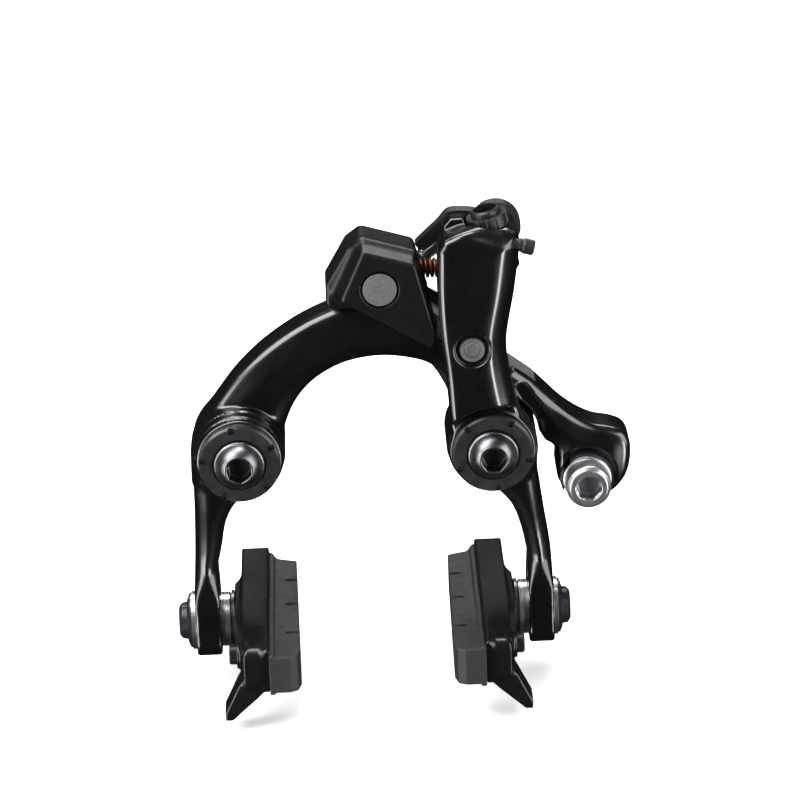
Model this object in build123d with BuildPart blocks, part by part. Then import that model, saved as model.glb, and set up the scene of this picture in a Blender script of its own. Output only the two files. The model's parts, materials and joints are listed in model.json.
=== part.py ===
from build123d import *
import os
from dataclasses import dataclass
from math import radians, degrees, cos, sin, atan2, hypot

# Direct-mount dual-pivot rim brake caliper. Millimetres.
# Origin midway between the two mounting bolts on the mounting face.
# +X to the right seen from the front, +Y into the fork (rear), +Z up.
# The rear arm turns on the left pivot and the front arm on the right pivot.

# ---- pivots ----
BOLT_SPACING = 56.0      # between the two mounting bolts
PIVOT_X = BOLT_SPACING / 2
LEFT_PIVOT = (-PIVOT_X, 0)
RIGHT_PIVOT = (PIVOT_X, 0)
PIVOTS = (LEFT_PIVOT, RIGHT_PIVOT)
BOSS_R = 9.9             # pivot boss on each arm
BOSS_FRONT = -19.0
BOSS_REAR = -2.2
BOSS_LENGTH = BOSS_REAR - BOSS_FRONT
SLEEVE_R = 5.0
SLEEVE_BORE_R = 3.1
SLEEVE_FRONT = -20.4
RUN = 0.03               # radial running clearance
BUSH_R = 6.2
CAP_R = 9.0
CAP_FRONT = -21.0
CAP_REAR = -19.06
M6_R = 3.0               # radius of the M6 threads
PLATE_T = 1.4            # stay plate behind the arms

# ---- arms ----
BEAM_FRONT = -12.0       # rear arm beam, front and rear faces
BEAM_REAR = BOSS_REAR
TOP_FRONT = -22.0        # front arm upper blade, front and rear faces
TOP_REAR = -12.6
LEG_CLEARANCE_R = 8.0    # front arm blade and leg stop short of the bushing seat
THROUGH_ARM = 25.0       # cut from the mounting face out past the front of an arm

# ---- cam, roller and its pin ----
ROLLER_R = 2.9
ROLLER_PIN = (23.94, 25.05)
ROLLER_PIN_R = 1.75
CAM_REAR = -3.3
CAM_T = 6.2
CAM_CUT = 12.0           # roller pocket cut, out past the front of the beam

# ---- shoe mounting ----
SHOE_Y = -10.0           # shoe bolt depth and height
SHOE_Z = -42.4
FOOT_IN_L = -34.1        # inner face of each foot
FOOT_IN_R = 35.4
FOOT_T = 5.7
FOOT_BOTTOM = -50.0      # below the rounded end of the foot
SLOT_TRAVEL = 8.0
SLOT_WIDTH = 6.2

# ---- cable clamp and return spring ----
CLAMP = (49.1, -9.7)     # cable clamp bolt axis
CLAMP_PLATE_T = 2.1
SPRING_Y = -9.3
SPRING_Z = 40.1

# ---- outlines, all (x, z) and listed along the edge ----
STAY_TOP = [
    (-36.3, 0.5), (-33.0, 8.0), (-25.5, 17.0), (-14.0, 25.0),
    (0.0, 28.6), (14.0, 25.0), (25.5, 16.0), (36.3, 0.5),
]
STAY_UNDERSIDE = [
    (20.0, 3.0), (17.5, 11.0), (10.0, 19.2), (0.0, 21.6),
    (-10.0, 18.2), (-17.5, 9.6), (-20.0, 3.0),
]
LEFT_BEAM_OUTER = [
    (-38.58, -8.08), (-38.58, -3.74), (-38.28, 0.61), (-37.47, 3.43), (-35.85, 6.36),
    (-31.51, 12.42), (-27.57, 17.37), (-21.41, 23.13), (-13.33, 28.48), (-4.20, 32.60),
]
LEFT_EAR_OUTER = [
    (37.50, 13.15), (40.80, 9.70), (43.83, 6.57), (47.67, 3.64), (51.21, 1.92),
    (54.94, 1.11), (57.67, -0.20), (58.98, -2.63), (59.09, -6.06), (58.4, -9.6),
    (56.9, -12.4), (54.4, -14.7), (51.2, -15.9), (47.6, -15.7), (44.7, -14.0),
    (42.9, -11.2), (42.4, -8.3), (42.5, -5.66), (42.02, -3.03), (40.00, -1.41),
]
LEFT_ARCH_INNER = [
    (18.58, 15.15), (14.85, 17.47), (8.59, 19.19), (2.83, 19.59), (-3.84, 18.38),
    (-9.49, 15.55), (-13.13, 12.32), (-15.55, 8.89), (-17.37, 4.65), (-18.79, 0.00),
    (-21.21, -6.06),
]
# clearance arc in the beam, over the right pivot boss: start, middle, end
BOSS_ARC = [(38.6, 0.93), (31.28, 10.13), (23.6, 9.70)]
# low wall on the rear of the beam, behind the cam
CAM_WALL = [(8.0, 32.0), (8.0, 34.4), (13.5, 34.4), (26.5, 26.6), (30.0, 18.0), (20.0, 22.0)]
CAM_TOP_LEFT = (12.2, 32.6)   # straight top edge of the beam and cam
CAM_TOP_RIGHT = (37.5, 13.15)
CAM_UNDERSIDE = [
    (12.2, 27.2), (29.5, 13.2), (33.8, 11.9), (36.9, 9.9), (37.8, 10.5),
    (38.3, 11.4), (38.15, 12.35),
]
# each leg: left edge downwards, then right edge upwards
LEFT_LEG_OUTER = [
    (-38.30, 1.00), (-38.60, -6.00), (-38.80, -15.00), (-39.20, -24.00), (-39.80, -33.50),
]
LEFT_LEG_INNER = [
    (-34.10, -27.80), (-33.10, -23.50), (-31.80, -17.00), (-29.60, -12.60),
    (-26.00, -9.00), (-22.00, -4.00),
]
RIGHT_LEG_INNER = [
    (24.50, -6.00), (28.20, -10.60), (31.80, -15.00), (33.90, -20.50), (35.40, -27.80),
]
RIGHT_LEG_OUTER = [
    (41.10, -34.50), (40.80, -27.00), (39.60, -18.20), (38.40, -9.00), (37.20, 0.00),
]
RIGHT_TOP_LEFT = [
    (19.39, 4.04), (18.68, 9.60), (18.18, 18.58), (17.27, 27.98), (16.87, 37.27),
    (17.07, 47.87),
]
RIGHT_TOP_TOP = [(18.48, 50.10), (22.22, 51.61), (26.77, 52.22), (31.31, 51.71), (34.34, 50.40)]
RIGHT_TOP_RIGHT = [
    (35.05, 47.87), (33.53, 36.97), (31.92, 28.28), (31.61, 24.44), (32.22, 18.18),
    (33.73, 10.71), (35.96, 4.54),
]
LEVER_LUG = [
    (18.7, 46.0), (18.7, 51.3), (20.1, 52.8), (23.4, 52.9), (24.2, 50.6), (24.2, 46.0),
]
HOUSING_BODY = [
    (-7.47, 34.34), (-7.47, 38.38), (-2.73, 46.56), (1.31, 48.78), (12.22, 45.45),
    (15.6, 33.6), (15.4, 32.62), (-3.9, 32.62), (-5.4, 33.2),
]
HOUSING_APRON = [
    (-5.75, 36.9), (-0.6, 47.4), (1.0, 48.7), (12.2, 45.4), (16.75, 28.4), (15.0, 25.4),
]
HOUSING_FRONT = [
    (-4.34, 36.36), (0.40, 46.76), (2.12, 47.37), (12.32, 44.14), (16.50, 27.40),
    (15.00, 24.60),
]
LEVER_TOP = [
    (25.86, 52.32), (21.41, 52.72), (19.70, 52.32), (18.08, 50.60), (16.26, 48.78),
    (13.63, 46.36), (12.52, 45.25),
]
LEVER_TIP = (13.33, 43.83)
LEVER_UNDERSIDE = [(14.85, 43.94), (16.56, 45.15), (19.70, 46.86), (24.24, 47.07)]

# ---- side view of both legs (y, z): front edge downwards, rear edge upwards ----
LEG_FRONT = [(-17.8, 2.0), (-16.4, -12.0), (-15.1, -22.0), (-15.0, -29.0), (-17.2, -38.0)]
LEG_REAR = [(-2.8, -38.0), (-5.0, -29.0), (-4.9, -22.0), (-3.6, -12.0), (-2.5, 2.0)]


# ======================= helpers =======================
def xz(y, x=0, z=0):
    """Plane facing the front at depth y, with local x = X and local y = Z."""
    return Plane(origin=(x, y, z), x_dir=(1, 0, 0), z_dir=(0, -1, 0))


def shift(points, across=0.0, along=0.0):
    return [(first + across, second + along) for first, second in points]


def save(part, name):
    part.label = name
    export_step(part, f"parts/{name}.step")


def rings(rear, centres, outer_r, bore_r, length):
    """Plain rings around front-to-rear axes, built forward from depth rear."""
    with BuildPart() as piece:
        for centre in centres:
            with BuildSketch(xz(rear)):
                with Locations(centre):
                    Circle(outer_r)
                    Circle(bore_r, mode=Mode.SUBTRACT)
            extrude(amount=length)
    return piece.part


# ======================= cam profile =======================
PATH_START_DEG = -0.6    # closing angles at which the roller is placed
PATH_STEP_DEG = 0.4
PATH_COUNT = 21
POCKET_R = ROLLER_R + 0.25   # end walls of the roller pocket
WALL_LEAD_DEG = 14.0         # each wall starts this far past the end of the cam run
WALL_STEP_DEG = 12.0
WALL_MAX_POINTS = 20
WALL_RISE = 0.4              # a wall ends once it is this far above the top edge


def turn(point, centre, angle):
    dx, dz = point[0] - centre[0], point[1] - centre[1]
    return (
        centre[0] + dx * cos(angle) - dz * sin(angle),
        centre[1] + dx * sin(angle) + dz * cos(angle),
    )


def roller_centre(closing_deg):
    """Roller centre as seen from the rear arm, with both arms closed by this angle."""
    angle = radians(closing_deg)
    return turn(turn(ROLLER_PIN, RIGHT_PIVOT, -angle), LEFT_PIVOT, -angle)


def top_edge_z(x):
    fall = CAM_TOP_RIGHT[1] - CAM_TOP_LEFT[1]
    run = CAM_TOP_RIGHT[0] - CAM_TOP_LEFT[0]
    return CAM_TOP_LEFT[1] + (x - CAM_TOP_LEFT[0]) * fall / run


def pocket_wall(centre, run_end, direction):
    """Arc about a roller centre, from near the end of the cam run up past the top edge."""
    end_deg = degrees(atan2(run_end[1] - centre[1], run_end[0] - centre[0]))
    points = []
    for k in range(WALL_MAX_POINTS):
        angle = radians(end_deg + direction * (WALL_LEAD_DEG + WALL_STEP_DEG * k))
        x = centre[0] + POCKET_R * cos(angle)
        z = centre[1] + POCKET_R * sin(angle)
        points.append((x, z))
        if z > top_edge_z(x) + WALL_RISE:
            break
    return points


def roller_pocket():
    """Closed outline of the pocket: left wall, cam run, right wall, open top."""
    path = [roller_centre(PATH_START_DEG + PATH_STEP_DEG * i) for i in range(PATH_COUNT)]
    offset = ROLLER_R + RUN
    cam_run = []
    for before, here, after in zip(path, path[1:], path[2:]):
        dx, dz = after[0] - before[0], after[1] - before[1]
        length = hypot(dx, dz)
        cam_run.append((here[0] + dz / length * offset, here[1] - dx / length * offset))
    left_wall = pocket_wall(path[1], cam_run[0], -1)
    right_wall = pocket_wall(path[-2], cam_run[-1], 1)
    right_top, left_top = right_wall[-1], left_wall[-1]
    opening = [(right_top[0] + 2.0, right_top[1] + 8.0), (left_top[0] - 0.5, left_top[1] + 9.0)]
    return left_wall[::-1] + cam_run + right_wall + opening


POCKET = roller_pocket()


# ======================= fixed base =======================
WASHER_R = 8.6
WASHER_T = 0.7
WASHER_GAP = 0.04        # between the stay plate and the thrust washers
HOLE_R = 1.6             # small holes in the stay plate

# half section of a mounting bolt: radius, y
BOLT_THREAD_END = 12.0   # length of each mounting bolt behind the face
BOLT_BODY = [
    (0, BOLT_THREAD_END), (M6_R - 0.6, BOLT_THREAD_END), (M6_R, BOLT_THREAD_END - 0.6),
    (M6_R, 0.0), (M6_R - 0.4, -0.4), (M6_R - 0.4, SLEEVE_FRONT),
    (5.6, SLEEVE_FRONT), (5.6, -21.3), (5.1, -21.8), (4.6, -21.9),
]
BOLT_DOME = [(4.6, -21.9), (4.15, -23.7), (3.1, -24.8)]
BOLT_END = [(3.1, -24.8), (2.6, -24.4), (0, -24.4), (0, BOLT_THREAD_END)]


def stay_plate():
    with BuildPart() as piece:
        with BuildSketch(xz(0)):
            with BuildLine():
                Spline(*STAY_TOP)
                ThreePointArc(STAY_TOP[-1], (PIVOT_X, -8.2), STAY_UNDERSIDE[0])
                Spline(*STAY_UNDERSIDE)
                ThreePointArc(STAY_UNDERSIDE[-1], (-PIVOT_X, -8.2), STAY_TOP[0])
            make_face()
            with Locations(RIGHT_PIVOT, LEFT_PIVOT):
                Circle(SLEEVE_R, mode=Mode.SUBTRACT)
            with Locations((-7.0, 24.2), (7.0, 24.0)):
                Circle(HOLE_R, mode=Mode.SUBTRACT)
        extrude(amount=PLATE_T)
    return piece.part


def pivot_sleeves():
    with BuildPart() as piece:
        for pivot in PIVOTS:
            with BuildSketch(xz(0)):
                with Locations(pivot):
                    Circle(SLEEVE_R)
                    Circle(SLEEVE_BORE_R, mode=Mode.SUBTRACT)
            extrude(amount=-SLEEVE_FRONT)
        chamfer(piece.edges().filter_by(GeomType.CIRCLE).group_by(Axis.Y)[0], length=0.3)
    return piece.part


def thrust_washers():
    return rings(-PLATE_T - WASHER_GAP, PIVOTS, WASHER_R, SLEEVE_R + 0.05, WASHER_T)


def pivot_caps():
    with BuildPart() as piece:
        for pivot in PIVOTS:
            with BuildSketch(xz(CAP_REAR)):
                with Locations(pivot):
                    Circle(CAP_R)
            extrude(amount=CAP_REAR - CAP_FRONT)
        chamfer(piece.faces().sort_by(Axis.Y)[:2].edges(), length=0.45)
        for pivot, first_notch_deg in ((LEFT_PIVOT, 100), (RIGHT_PIVOT, 60)):
            # sleeve hole, then room for the bolt head
            with BuildSketch(xz(CAP_REAR)):
                with Locations(pivot):
                    Circle(SLEEVE_R)
            extrude(amount=3, mode=Mode.SUBTRACT)
            with BuildSketch(xz(SLEEVE_FRONT)):
                with Locations(pivot):
                    Circle(6.0)
            extrude(amount=2, mode=Mode.SUBTRACT)
            # spanner notches in the rim
            with BuildSketch(xz(-20.3)):
                with Locations(pivot):
                    with PolarLocations(8.1, 5, start_angle=first_notch_deg):
                        Rectangle(1.5, 1.2)
            extrude(amount=2, mode=Mode.SUBTRACT)
    return piece.part


def mounting_bolts():
    with BuildPart() as piece:
        for pivot in PIVOTS:
            with BuildSketch(Plane.XY):
                with BuildLine():
                    Polyline(*shift(BOLT_BODY, pivot[0]))
                    ThreePointArc(*shift(BOLT_DOME, pivot[0]))
                    Polyline(*shift(BOLT_END, pivot[0]))
                make_face()
            revolve(axis=Axis((pivot[0], 0, 0), (0, 1, 0)))
            # hex socket, cut rearwards from in front of the head
            with BuildSketch(xz(-26)):
                with Locations(pivot):
                    RegularPolygon(2.5, 6, major_radius=False, rotation=8)
            extrude(amount=-4.6, mode=Mode.SUBTRACT)
    return piece.part


# ======================= parts shared by both arms =======================
LEG_REAR_Y = -1.0        # the leg blank, before the side view trims it
LEG_DEPTH = 20.0
SIDE_REACH = 60.0        # side view extrusion, past the outside of either arm


def leg(left_edge, right_edge, foot_left_x, right_side):
    """Lower leg with its foot: the front view trimmed by the side view."""
    with BuildPart() as piece:
        with BuildSketch(xz(LEG_REAR_Y)):
            with BuildLine():
                Spline(*left_edge)
                Polyline(
                    left_edge[-1],
                    (foot_left_x, FOOT_BOTTOM),
                    (foot_left_x + FOOT_T, FOOT_BOTTOM),
                    right_edge[0],
                )
                Spline(*right_edge)
                Line(right_edge[-1], left_edge[0])
            make_face()
        extrude(amount=LEG_DEPTH)
        with BuildSketch(Plane.YZ.offset(0 if right_side else -SIDE_REACH)):
            with BuildLine():
                Spline(*LEG_FRONT)
                ThreePointArc(LEG_FRONT[-1], (SHOE_Y, SHOE_Z - 6.6), LEG_REAR[0])
                Spline(*LEG_REAR)
                Line(LEG_REAR[-1], LEG_FRONT[0])
            make_face()
        extrude(amount=SIDE_REACH, mode=Mode.INTERSECT)
        if right_side:
            with BuildSketch(xz(0)):
                with Locations(RIGHT_PIVOT):
                    Circle(LEG_CLEARANCE_R)
            extrude(amount=THROUGH_ARM, mode=Mode.SUBTRACT)
    return piece.part


def bushing(pivot):
    return rings(BOSS_REAR, [pivot], BUSH_R, SLEEVE_R + RUN, BOSS_LENGTH)


# ======================= rear arm (left pivot) =======================
def left_arm():
    left_leg = leg(LEFT_LEG_OUTER, LEFT_LEG_INNER, FOOT_IN_L - FOOT_T, right_side=False)
    with BuildPart() as piece:
        # beam over the wheel, running behind the front arm to the cable ear
        with BuildSketch(xz(BEAM_REAR)):
            with BuildLine():
                Spline(*LEFT_BEAM_OUTER)
                Polyline(LEFT_BEAM_OUTER[-1], CAM_TOP_LEFT, CAM_TOP_RIGHT)
                Spline(*LEFT_EAR_OUTER)
                Line(LEFT_EAR_OUTER[-1], BOSS_ARC[0])
                ThreePointArc(*BOSS_ARC)
                Line(BOSS_ARC[-1], LEFT_ARCH_INNER[0])
                Spline(*LEFT_ARCH_INNER)
                Line(LEFT_ARCH_INNER[-1], LEFT_BEAM_OUTER[0])
            make_face()
        extrude(amount=BEAM_REAR - BEAM_FRONT)
        fillet(piece.faces().sort_by(Axis.Y)[0].edges(), radius=1.6)
        # upstanding wall behind the cam
        with BuildSketch(xz(BEAM_REAR)):
            with BuildLine():
                Polyline(*CAM_WALL, close=True)
            make_face()
        extrude(amount=BEAM_REAR - CAM_REAR)
        # pivot boss
        with BuildSketch(xz(BOSS_REAR)):
            with Locations(LEFT_PIVOT):
                Circle(BOSS_R)
        extrude(amount=BOSS_LENGTH)
        add(left_leg)
        # bushing seat
        with BuildSketch(xz(0)):
            with Locations(LEFT_PIVOT):
                Circle(BUSH_R)
        extrude(amount=THROUGH_ARM, mode=Mode.SUBTRACT)
        # height slot for the shoe bolt
        with BuildSketch(Plane.YZ.offset(-50)):
            with Locations((SHOE_Y, SHOE_Z + SLOT_TRAVEL / 2)):
                SlotCenterToCenter(SLOT_TRAVEL, SLOT_WIDTH, rotation=90)
        extrude(amount=20, mode=Mode.SUBTRACT)
        # cam seat, then the roller pocket
        with BuildSketch(xz(CAM_REAR)):
            with BuildLine():
                Polyline(*CAM_UNDERSIDE, (38.6, 15.0), (12.2, 34.4), close=True)
            make_face()
        extrude(amount=CAM_T, mode=Mode.SUBTRACT)
        with BuildSketch(xz(CAM_REAR)):
            with BuildLine():
                Polyline(*POCKET, close=True)
            make_face()
        extrude(amount=CAM_CUT, mode=Mode.SUBTRACT)
        # clamp bolt thread in the cable ear, and room in front for the clamp plate
        with BuildSketch(xz(0)):
            with Locations(CLAMP):
                Circle(M6_R)
        extrude(amount=14, mode=Mode.SUBTRACT)
        with BuildSketch(xz(BEAM_FRONT)):
            with Locations(CLAMP):
                Circle(6.7)
        extrude(amount=4, mode=Mode.SUBTRACT)
        # shallow oval pocket in the front face behind the front arm
        with BuildSketch(xz(BEAM_FRONT + 1.2)):
            with Locations((36.9, 8.6)):
                SlotOverall(8.6, 2.8, rotation=-58)
        extrude(amount=4, mode=Mode.SUBTRACT)
    return piece.part


def cam_plate():
    with BuildPart() as piece:
        with BuildSketch(xz(CAM_REAR)):
            with BuildLine():
                Polyline(CAM_TOP_LEFT, CAM_TOP_RIGHT, *reversed(CAM_UNDERSIDE), close=True)
            make_face()
        extrude(amount=CAM_T)
        with BuildSketch(xz(-3.0)):
            with BuildLine():
                Polyline(*POCKET, close=True)
            make_face()
        extrude(amount=CAM_CUT, mode=Mode.SUBTRACT)
    return piece.part


# ---- spring housing on top of the beam ----
HOUSING_REAR_Y = -3.4
APRON_REAR_Y = -12.3
BEVEL_Y = -14.0          # the housing tapers from here to its front face
HOUSING_FRONT_Y = -19.0
HOUSING_PIN = (4.3, 38.9)
HOUSING_PIN_R = 1.5
COUNTERBORE_Y = -18.2    # floor of the counterbore for the pin head
COUNTERBORE_R = 4.5
COUNTERBORE_CORE_R = 3.3
# axis of the spring tension screw, pointing up to the right
TENSION_PLANE = Plane(origin=(10.2, -3.6, 37.05), z_dir=(0.767, 0, 0.642))


def spring_housing():
    with BuildPart() as piece:
        # body seated on the beam
        with BuildSketch(xz(HOUSING_REAR_Y)):
            with BuildLine():
                Polyline(*HOUSING_BODY, close=True)
            make_face()
        extrude(amount=HOUSING_REAR_Y - BEVEL_Y)
        # tapered front, with the apron that hangs in front of the beam
        with BuildSketch(xz(BEVEL_Y)):
            with BuildLine():
                Polyline(*HOUSING_APRON, close=True)
            make_face()
        with BuildSketch(xz(HOUSING_FRONT_Y)):
            with BuildLine():
                Polyline(*HOUSING_FRONT, close=True)
            make_face()
        loft()
        with BuildSketch(xz(APRON_REAR_Y)):
            with BuildLine():
                Polyline(*HOUSING_APRON, close=True)
            make_face()
        extrude(amount=APRON_REAR_Y - BEVEL_Y)
        # spring tunnel, open to the right
        tunnel_mouth = Plane(
            origin=(20, SPRING_Y, SPRING_Z), x_dir=(0, 1, 0), z_dir=(-1, 0, 0)
        )
        with BuildSketch(tunnel_mouth):
            Circle(2.75)
        extrude(amount=17.5, mode=Mode.SUBTRACT)
        # pin hole with its counterbore, cut as an outer ring and then the core
        with BuildSketch(xz(HOUSING_REAR_Y)):
            with Locations(HOUSING_PIN):
                Circle(HOUSING_PIN_R)
        extrude(amount=20, mode=Mode.SUBTRACT)
        with BuildSketch(xz(COUNTERBORE_Y)):
            with Locations(HOUSING_PIN):
                Circle(COUNTERBORE_R)
                Circle(COUNTERBORE_CORE_R, mode=Mode.SUBTRACT)
        extrude(amount=2, mode=Mode.SUBTRACT)
        with BuildSketch(xz(COUNTERBORE_Y)):
            with Locations(HOUSING_PIN):
                Circle(COUNTERBORE_CORE_R)
        extrude(amount=2, mode=Mode.SUBTRACT)
        # tension screw hole, wider for the collar
        with BuildSketch(TENSION_PLANE):
            Circle(1.36)
        extrude(amount=20, mode=Mode.SUBTRACT)
        with BuildSketch(TENSION_PLANE.offset(4.6)):
            Circle(2.3)
        extrude(amount=20, mode=Mode.SUBTRACT)
    return piece.part


def housing_pin():
    pin_rear = -3.6
    with BuildPart() as piece:
        with BuildSketch(xz(COUNTERBORE_Y)):
            with Locations(HOUSING_PIN):
                Circle(2.9)
        extrude(amount=1.0)
        chamfer(piece.faces().sort_by(Axis.Y)[0].edges(), length=0.25)
        with BuildSketch(xz(pin_rear)):
            with Locations(HOUSING_PIN):
                Circle(HOUSING_PIN_R)
        extrude(amount=pin_rear - COUNTERBORE_Y)
    return piece.part


def spring_tension_screw():
    with BuildPart() as piece:
        with BuildSketch(TENSION_PLANE.offset(0.1)):
            Circle(1.32)
        extrude(amount=10.4)
        chamfer(piece.faces().sort_by(Axis.Z)[-1].edges(), length=0.3)
        # collar
        with BuildSketch(TENSION_PLANE.offset(4.9)):
            Circle(2.1)
        extrude(amount=0.8)
    return piece.part


def return_spring():
    """Helix along X from inside the housing to the post on the front arm."""
    start_x, end_x = 6.6, 21.6
    with BuildPart() as piece:
        with BuildLine():
            coil = Helix(
                pitch=1.0,
                height=end_x - start_x,
                radius=1.85,
                center=(start_x, SPRING_Y, SPRING_Z),
                direction=(1, 0, 0),
            )
        with BuildSketch(Plane(origin=coil @ 0, z_dir=coil % 0)):
            Circle(0.4)
        sweep(path=coil, is_frenet=True)
    return piece.part


# ---- cable clamp on the ear ----
CLAMP_HEAD_Y = BEAM_FRONT - CLAMP_PLATE_T
# half section of the clamp bolt: radius, y
CLAMP_BOLT = [
    (0, -2.4), (2.5, -2.4), (M6_R, -2.9), (M6_R, CLAMP_HEAD_Y), (5.4, CLAMP_HEAD_Y),
    (5.4, -14.6), (5.0, -15.0), (5.0, -19.0), (4.1, -19.9), (0, -19.9),
]


def cable_clamp_plate():
    with BuildPart() as piece:
        with BuildSketch(xz(BEAM_FRONT)):
            with Locations(CLAMP):
                Circle(6.0)
                Circle(M6_R, mode=Mode.SUBTRACT)
            # upright slit left of the bolt
            with Locations((CLAMP[0] - 4.4, CLAMP[1] + 1.2)):
                Rectangle(1.5, 20, mode=Mode.SUBTRACT)
        extrude(amount=CLAMP_PLATE_T)
        front_arcs = piece.faces().sort_by(Axis.Y)[0].edges().filter_by(GeomType.CIRCLE)
        chamfer(front_arcs.sort_by(SortBy.RADIUS)[-1:], length=0.3)
    return piece.part


def cable_clamp_bolt():
    with BuildPart() as piece:
        with BuildSketch(Plane.XY.offset(CLAMP[1])):
            with BuildLine():
                Polyline(*shift(CLAMP_BOLT, CLAMP[0]), close=True)
            make_face()
        revolve(axis=Axis((CLAMP[0], 0, CLAMP[1]), (0, 1, 0)))
        with BuildSketch(xz(-16.6)):
            with Locations(CLAMP):
                RegularPolygon(2.5, 6, major_radius=False, rotation=18)
        extrude(amount=5, mode=Mode.SUBTRACT)
    return piece.part


# ======================= front arm (right pivot) =======================
HUB = (30.3, 48.6)           # release lever pivot
LEVER_PIN_R = 1.75
# cable adjuster axis, pointing up and slightly left
ADJUSTER = Plane(origin=(29.9, -13.2, 45.0), x_dir=(0, 1, 0), z_dir=(-0.22, 0, 0.975))
ADJUSTER_BORE_R = 3.35
# centring screw axis, pointing out to the right
CENTRE_SCREW = Plane(origin=(34.3, -18.0, 47.9), z_dir=(0.96, 0, -0.28))
# upper blade layers: rear y, front y, clearance radius around the pivot.
# The front layer is stepped back around the pivot cap.
BLADE_LAYERS = [
    (TOP_REAR, BOSS_FRONT, LEG_CLEARANCE_R),
    (BOSS_FRONT, TOP_FRONT, 11.2),
]
COUNTERBORE_PIN_Y = -20.9    # floor of the counterbore around the roller pin


def right_arm():
    right_leg = leg(RIGHT_LEG_INNER, RIGHT_LEG_OUTER, FOOT_IN_R, right_side=True)
    with BuildPart() as piece:
        for rear, front, clearance_r in BLADE_LAYERS:
            with BuildSketch(xz(rear)):
                with BuildLine():
                    Spline(*RIGHT_TOP_LEFT)
                    Line(RIGHT_TOP_LEFT[-1], RIGHT_TOP_TOP[0])
                    Spline(*RIGHT_TOP_TOP)
                    Line(RIGHT_TOP_TOP[-1], RIGHT_TOP_RIGHT[0])
                    Spline(*RIGHT_TOP_RIGHT)
                    Line(RIGHT_TOP_RIGHT[-1], RIGHT_TOP_LEFT[0])
                make_face()
                with Locations(RIGHT_PIVOT):
                    Circle(clearance_r, mode=Mode.SUBTRACT)
            extrude(amount=rear - front)
        fillet(piece.faces().sort_by(Axis.Y)[0].edges(), radius=1.2)
        # rear lug for the release lever, and boss for the adjuster
        with BuildSketch(xz(-10.2)):
            with BuildLine():
                Polyline(*LEVER_LUG, close=True)
            make_face()
        extrude(amount=4.3)
        with BuildSketch(ADJUSTER.offset(-4.5)):
            Circle(4.6)
        extrude(amount=9.3)
        # spring post behind the blade
        with BuildSketch(xz(SPRING_Y + 1.6)):
            with Locations((24.6, SPRING_Z)):
                Rectangle(4.6, 5.6)
        extrude(amount=6.0)
        # pivot boss with the bushing seat
        with BuildSketch(xz(BOSS_REAR)):
            with Locations(RIGHT_PIVOT):
                Circle(BOSS_R)
                Circle(BUSH_R, mode=Mode.SUBTRACT)
        extrude(amount=BOSS_LENGTH)
        add(right_leg)
        # roller pin seat and front counterbore
        with BuildSketch(xz(0)):
            with Locations(ROLLER_PIN):
                Circle(ROLLER_PIN_R)
        extrude(amount=THROUGH_ARM, mode=Mode.SUBTRACT)
        with BuildSketch(xz(COUNTERBORE_PIN_Y)):
            with Locations(ROLLER_PIN):
                Circle(3.9)
        extrude(amount=5, mode=Mode.SUBTRACT)
        # height slot for the shoe bolt
        with BuildSketch(Plane.YZ.offset(30)):
            with Locations((SHOE_Y, SHOE_Z + SLOT_TRAVEL / 2)):
                SlotCenterToCenter(SLOT_TRAVEL, SLOT_WIDTH, rotation=90)
        extrude(amount=20, mode=Mode.SUBTRACT)
        # relief for the adjuster nut, adjuster bore and the cable exit below it
        with BuildSketch(ADJUSTER.offset(5.85)):
            Circle(5.0)
        extrude(amount=8, mode=Mode.SUBTRACT)
        with BuildSketch(ADJUSTER.offset(-3.5)):
            Circle(ADJUSTER_BORE_R)
        extrude(amount=12, mode=Mode.SUBTRACT)
        with BuildSketch(ADJUSTER.offset(-20)):
            Circle(1.1)
        extrude(amount=18, mode=Mode.SUBTRACT)
        # clearance for the lever pin, cut rearwards
        with BuildSketch(xz(-8.8)):
            with Locations(HUB):
                Circle(LEVER_PIN_R)
        extrude(amount=-3, mode=Mode.SUBTRACT)
        # centring screw hole
        with BuildSketch(CENTRE_SCREW.offset(-4.2)):
            Circle(1.25)
        extrude(amount=8, mode=Mode.SUBTRACT)
    return piece.part


def roller_pin():
    with BuildPart() as piece:
        # thin head at the rear
        with BuildSketch(xz(-3.4)):
            with Locations(ROLLER_PIN):
                Circle(2.35)
        extrude(amount=0.5)
        with BuildSketch(xz(-3.5)):
            with Locations(ROLLER_PIN):
                Circle(ROLLER_PIN_R)
        extrude(amount=18.0)
        chamfer(piece.faces().sort_by(Axis.Y)[0].edges(), length=0.2)
    return piece.part


def pin_retaining_ring():
    return rings(COUNTERBORE_PIN_Y - 0.02, [ROLLER_PIN], 2.7, ROLLER_PIN_R, 0.6)


def cam_roller():
    with BuildPart() as piece:
        with BuildSketch(xz(-4.0)):
            with Locations(ROLLER_PIN):
                Circle(ROLLER_R)
                Circle(ROLLER_PIN_R + RUN, mode=Mode.SUBTRACT)
        extrude(amount=5.3)
        circles = piece.edges().filter_by(GeomType.CIRCLE)
        chamfer(circles.sort_by(SortBy.RADIUS)[-2:], length=0.25)
    return piece.part


def centering_screw():
    with BuildPart() as piece:
        with BuildSketch(CENTRE_SCREW.offset(-4.0)):
            Circle(1.22)
        extrude(amount=5.5)
        # head with its hex socket
        with BuildSketch(CENTRE_SCREW.offset(1.4)):
            Circle(1.75)
        extrude(amount=2.5)
        chamfer(piece.faces().sort_by(Axis.X)[-1].edges(), length=0.25)
        with BuildSketch(CENTRE_SCREW.offset(2.4)):
            RegularPolygon(1.0, 6, major_radius=False)
        extrude(amount=4, mode=Mode.SUBTRACT)
    return piece.part


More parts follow.
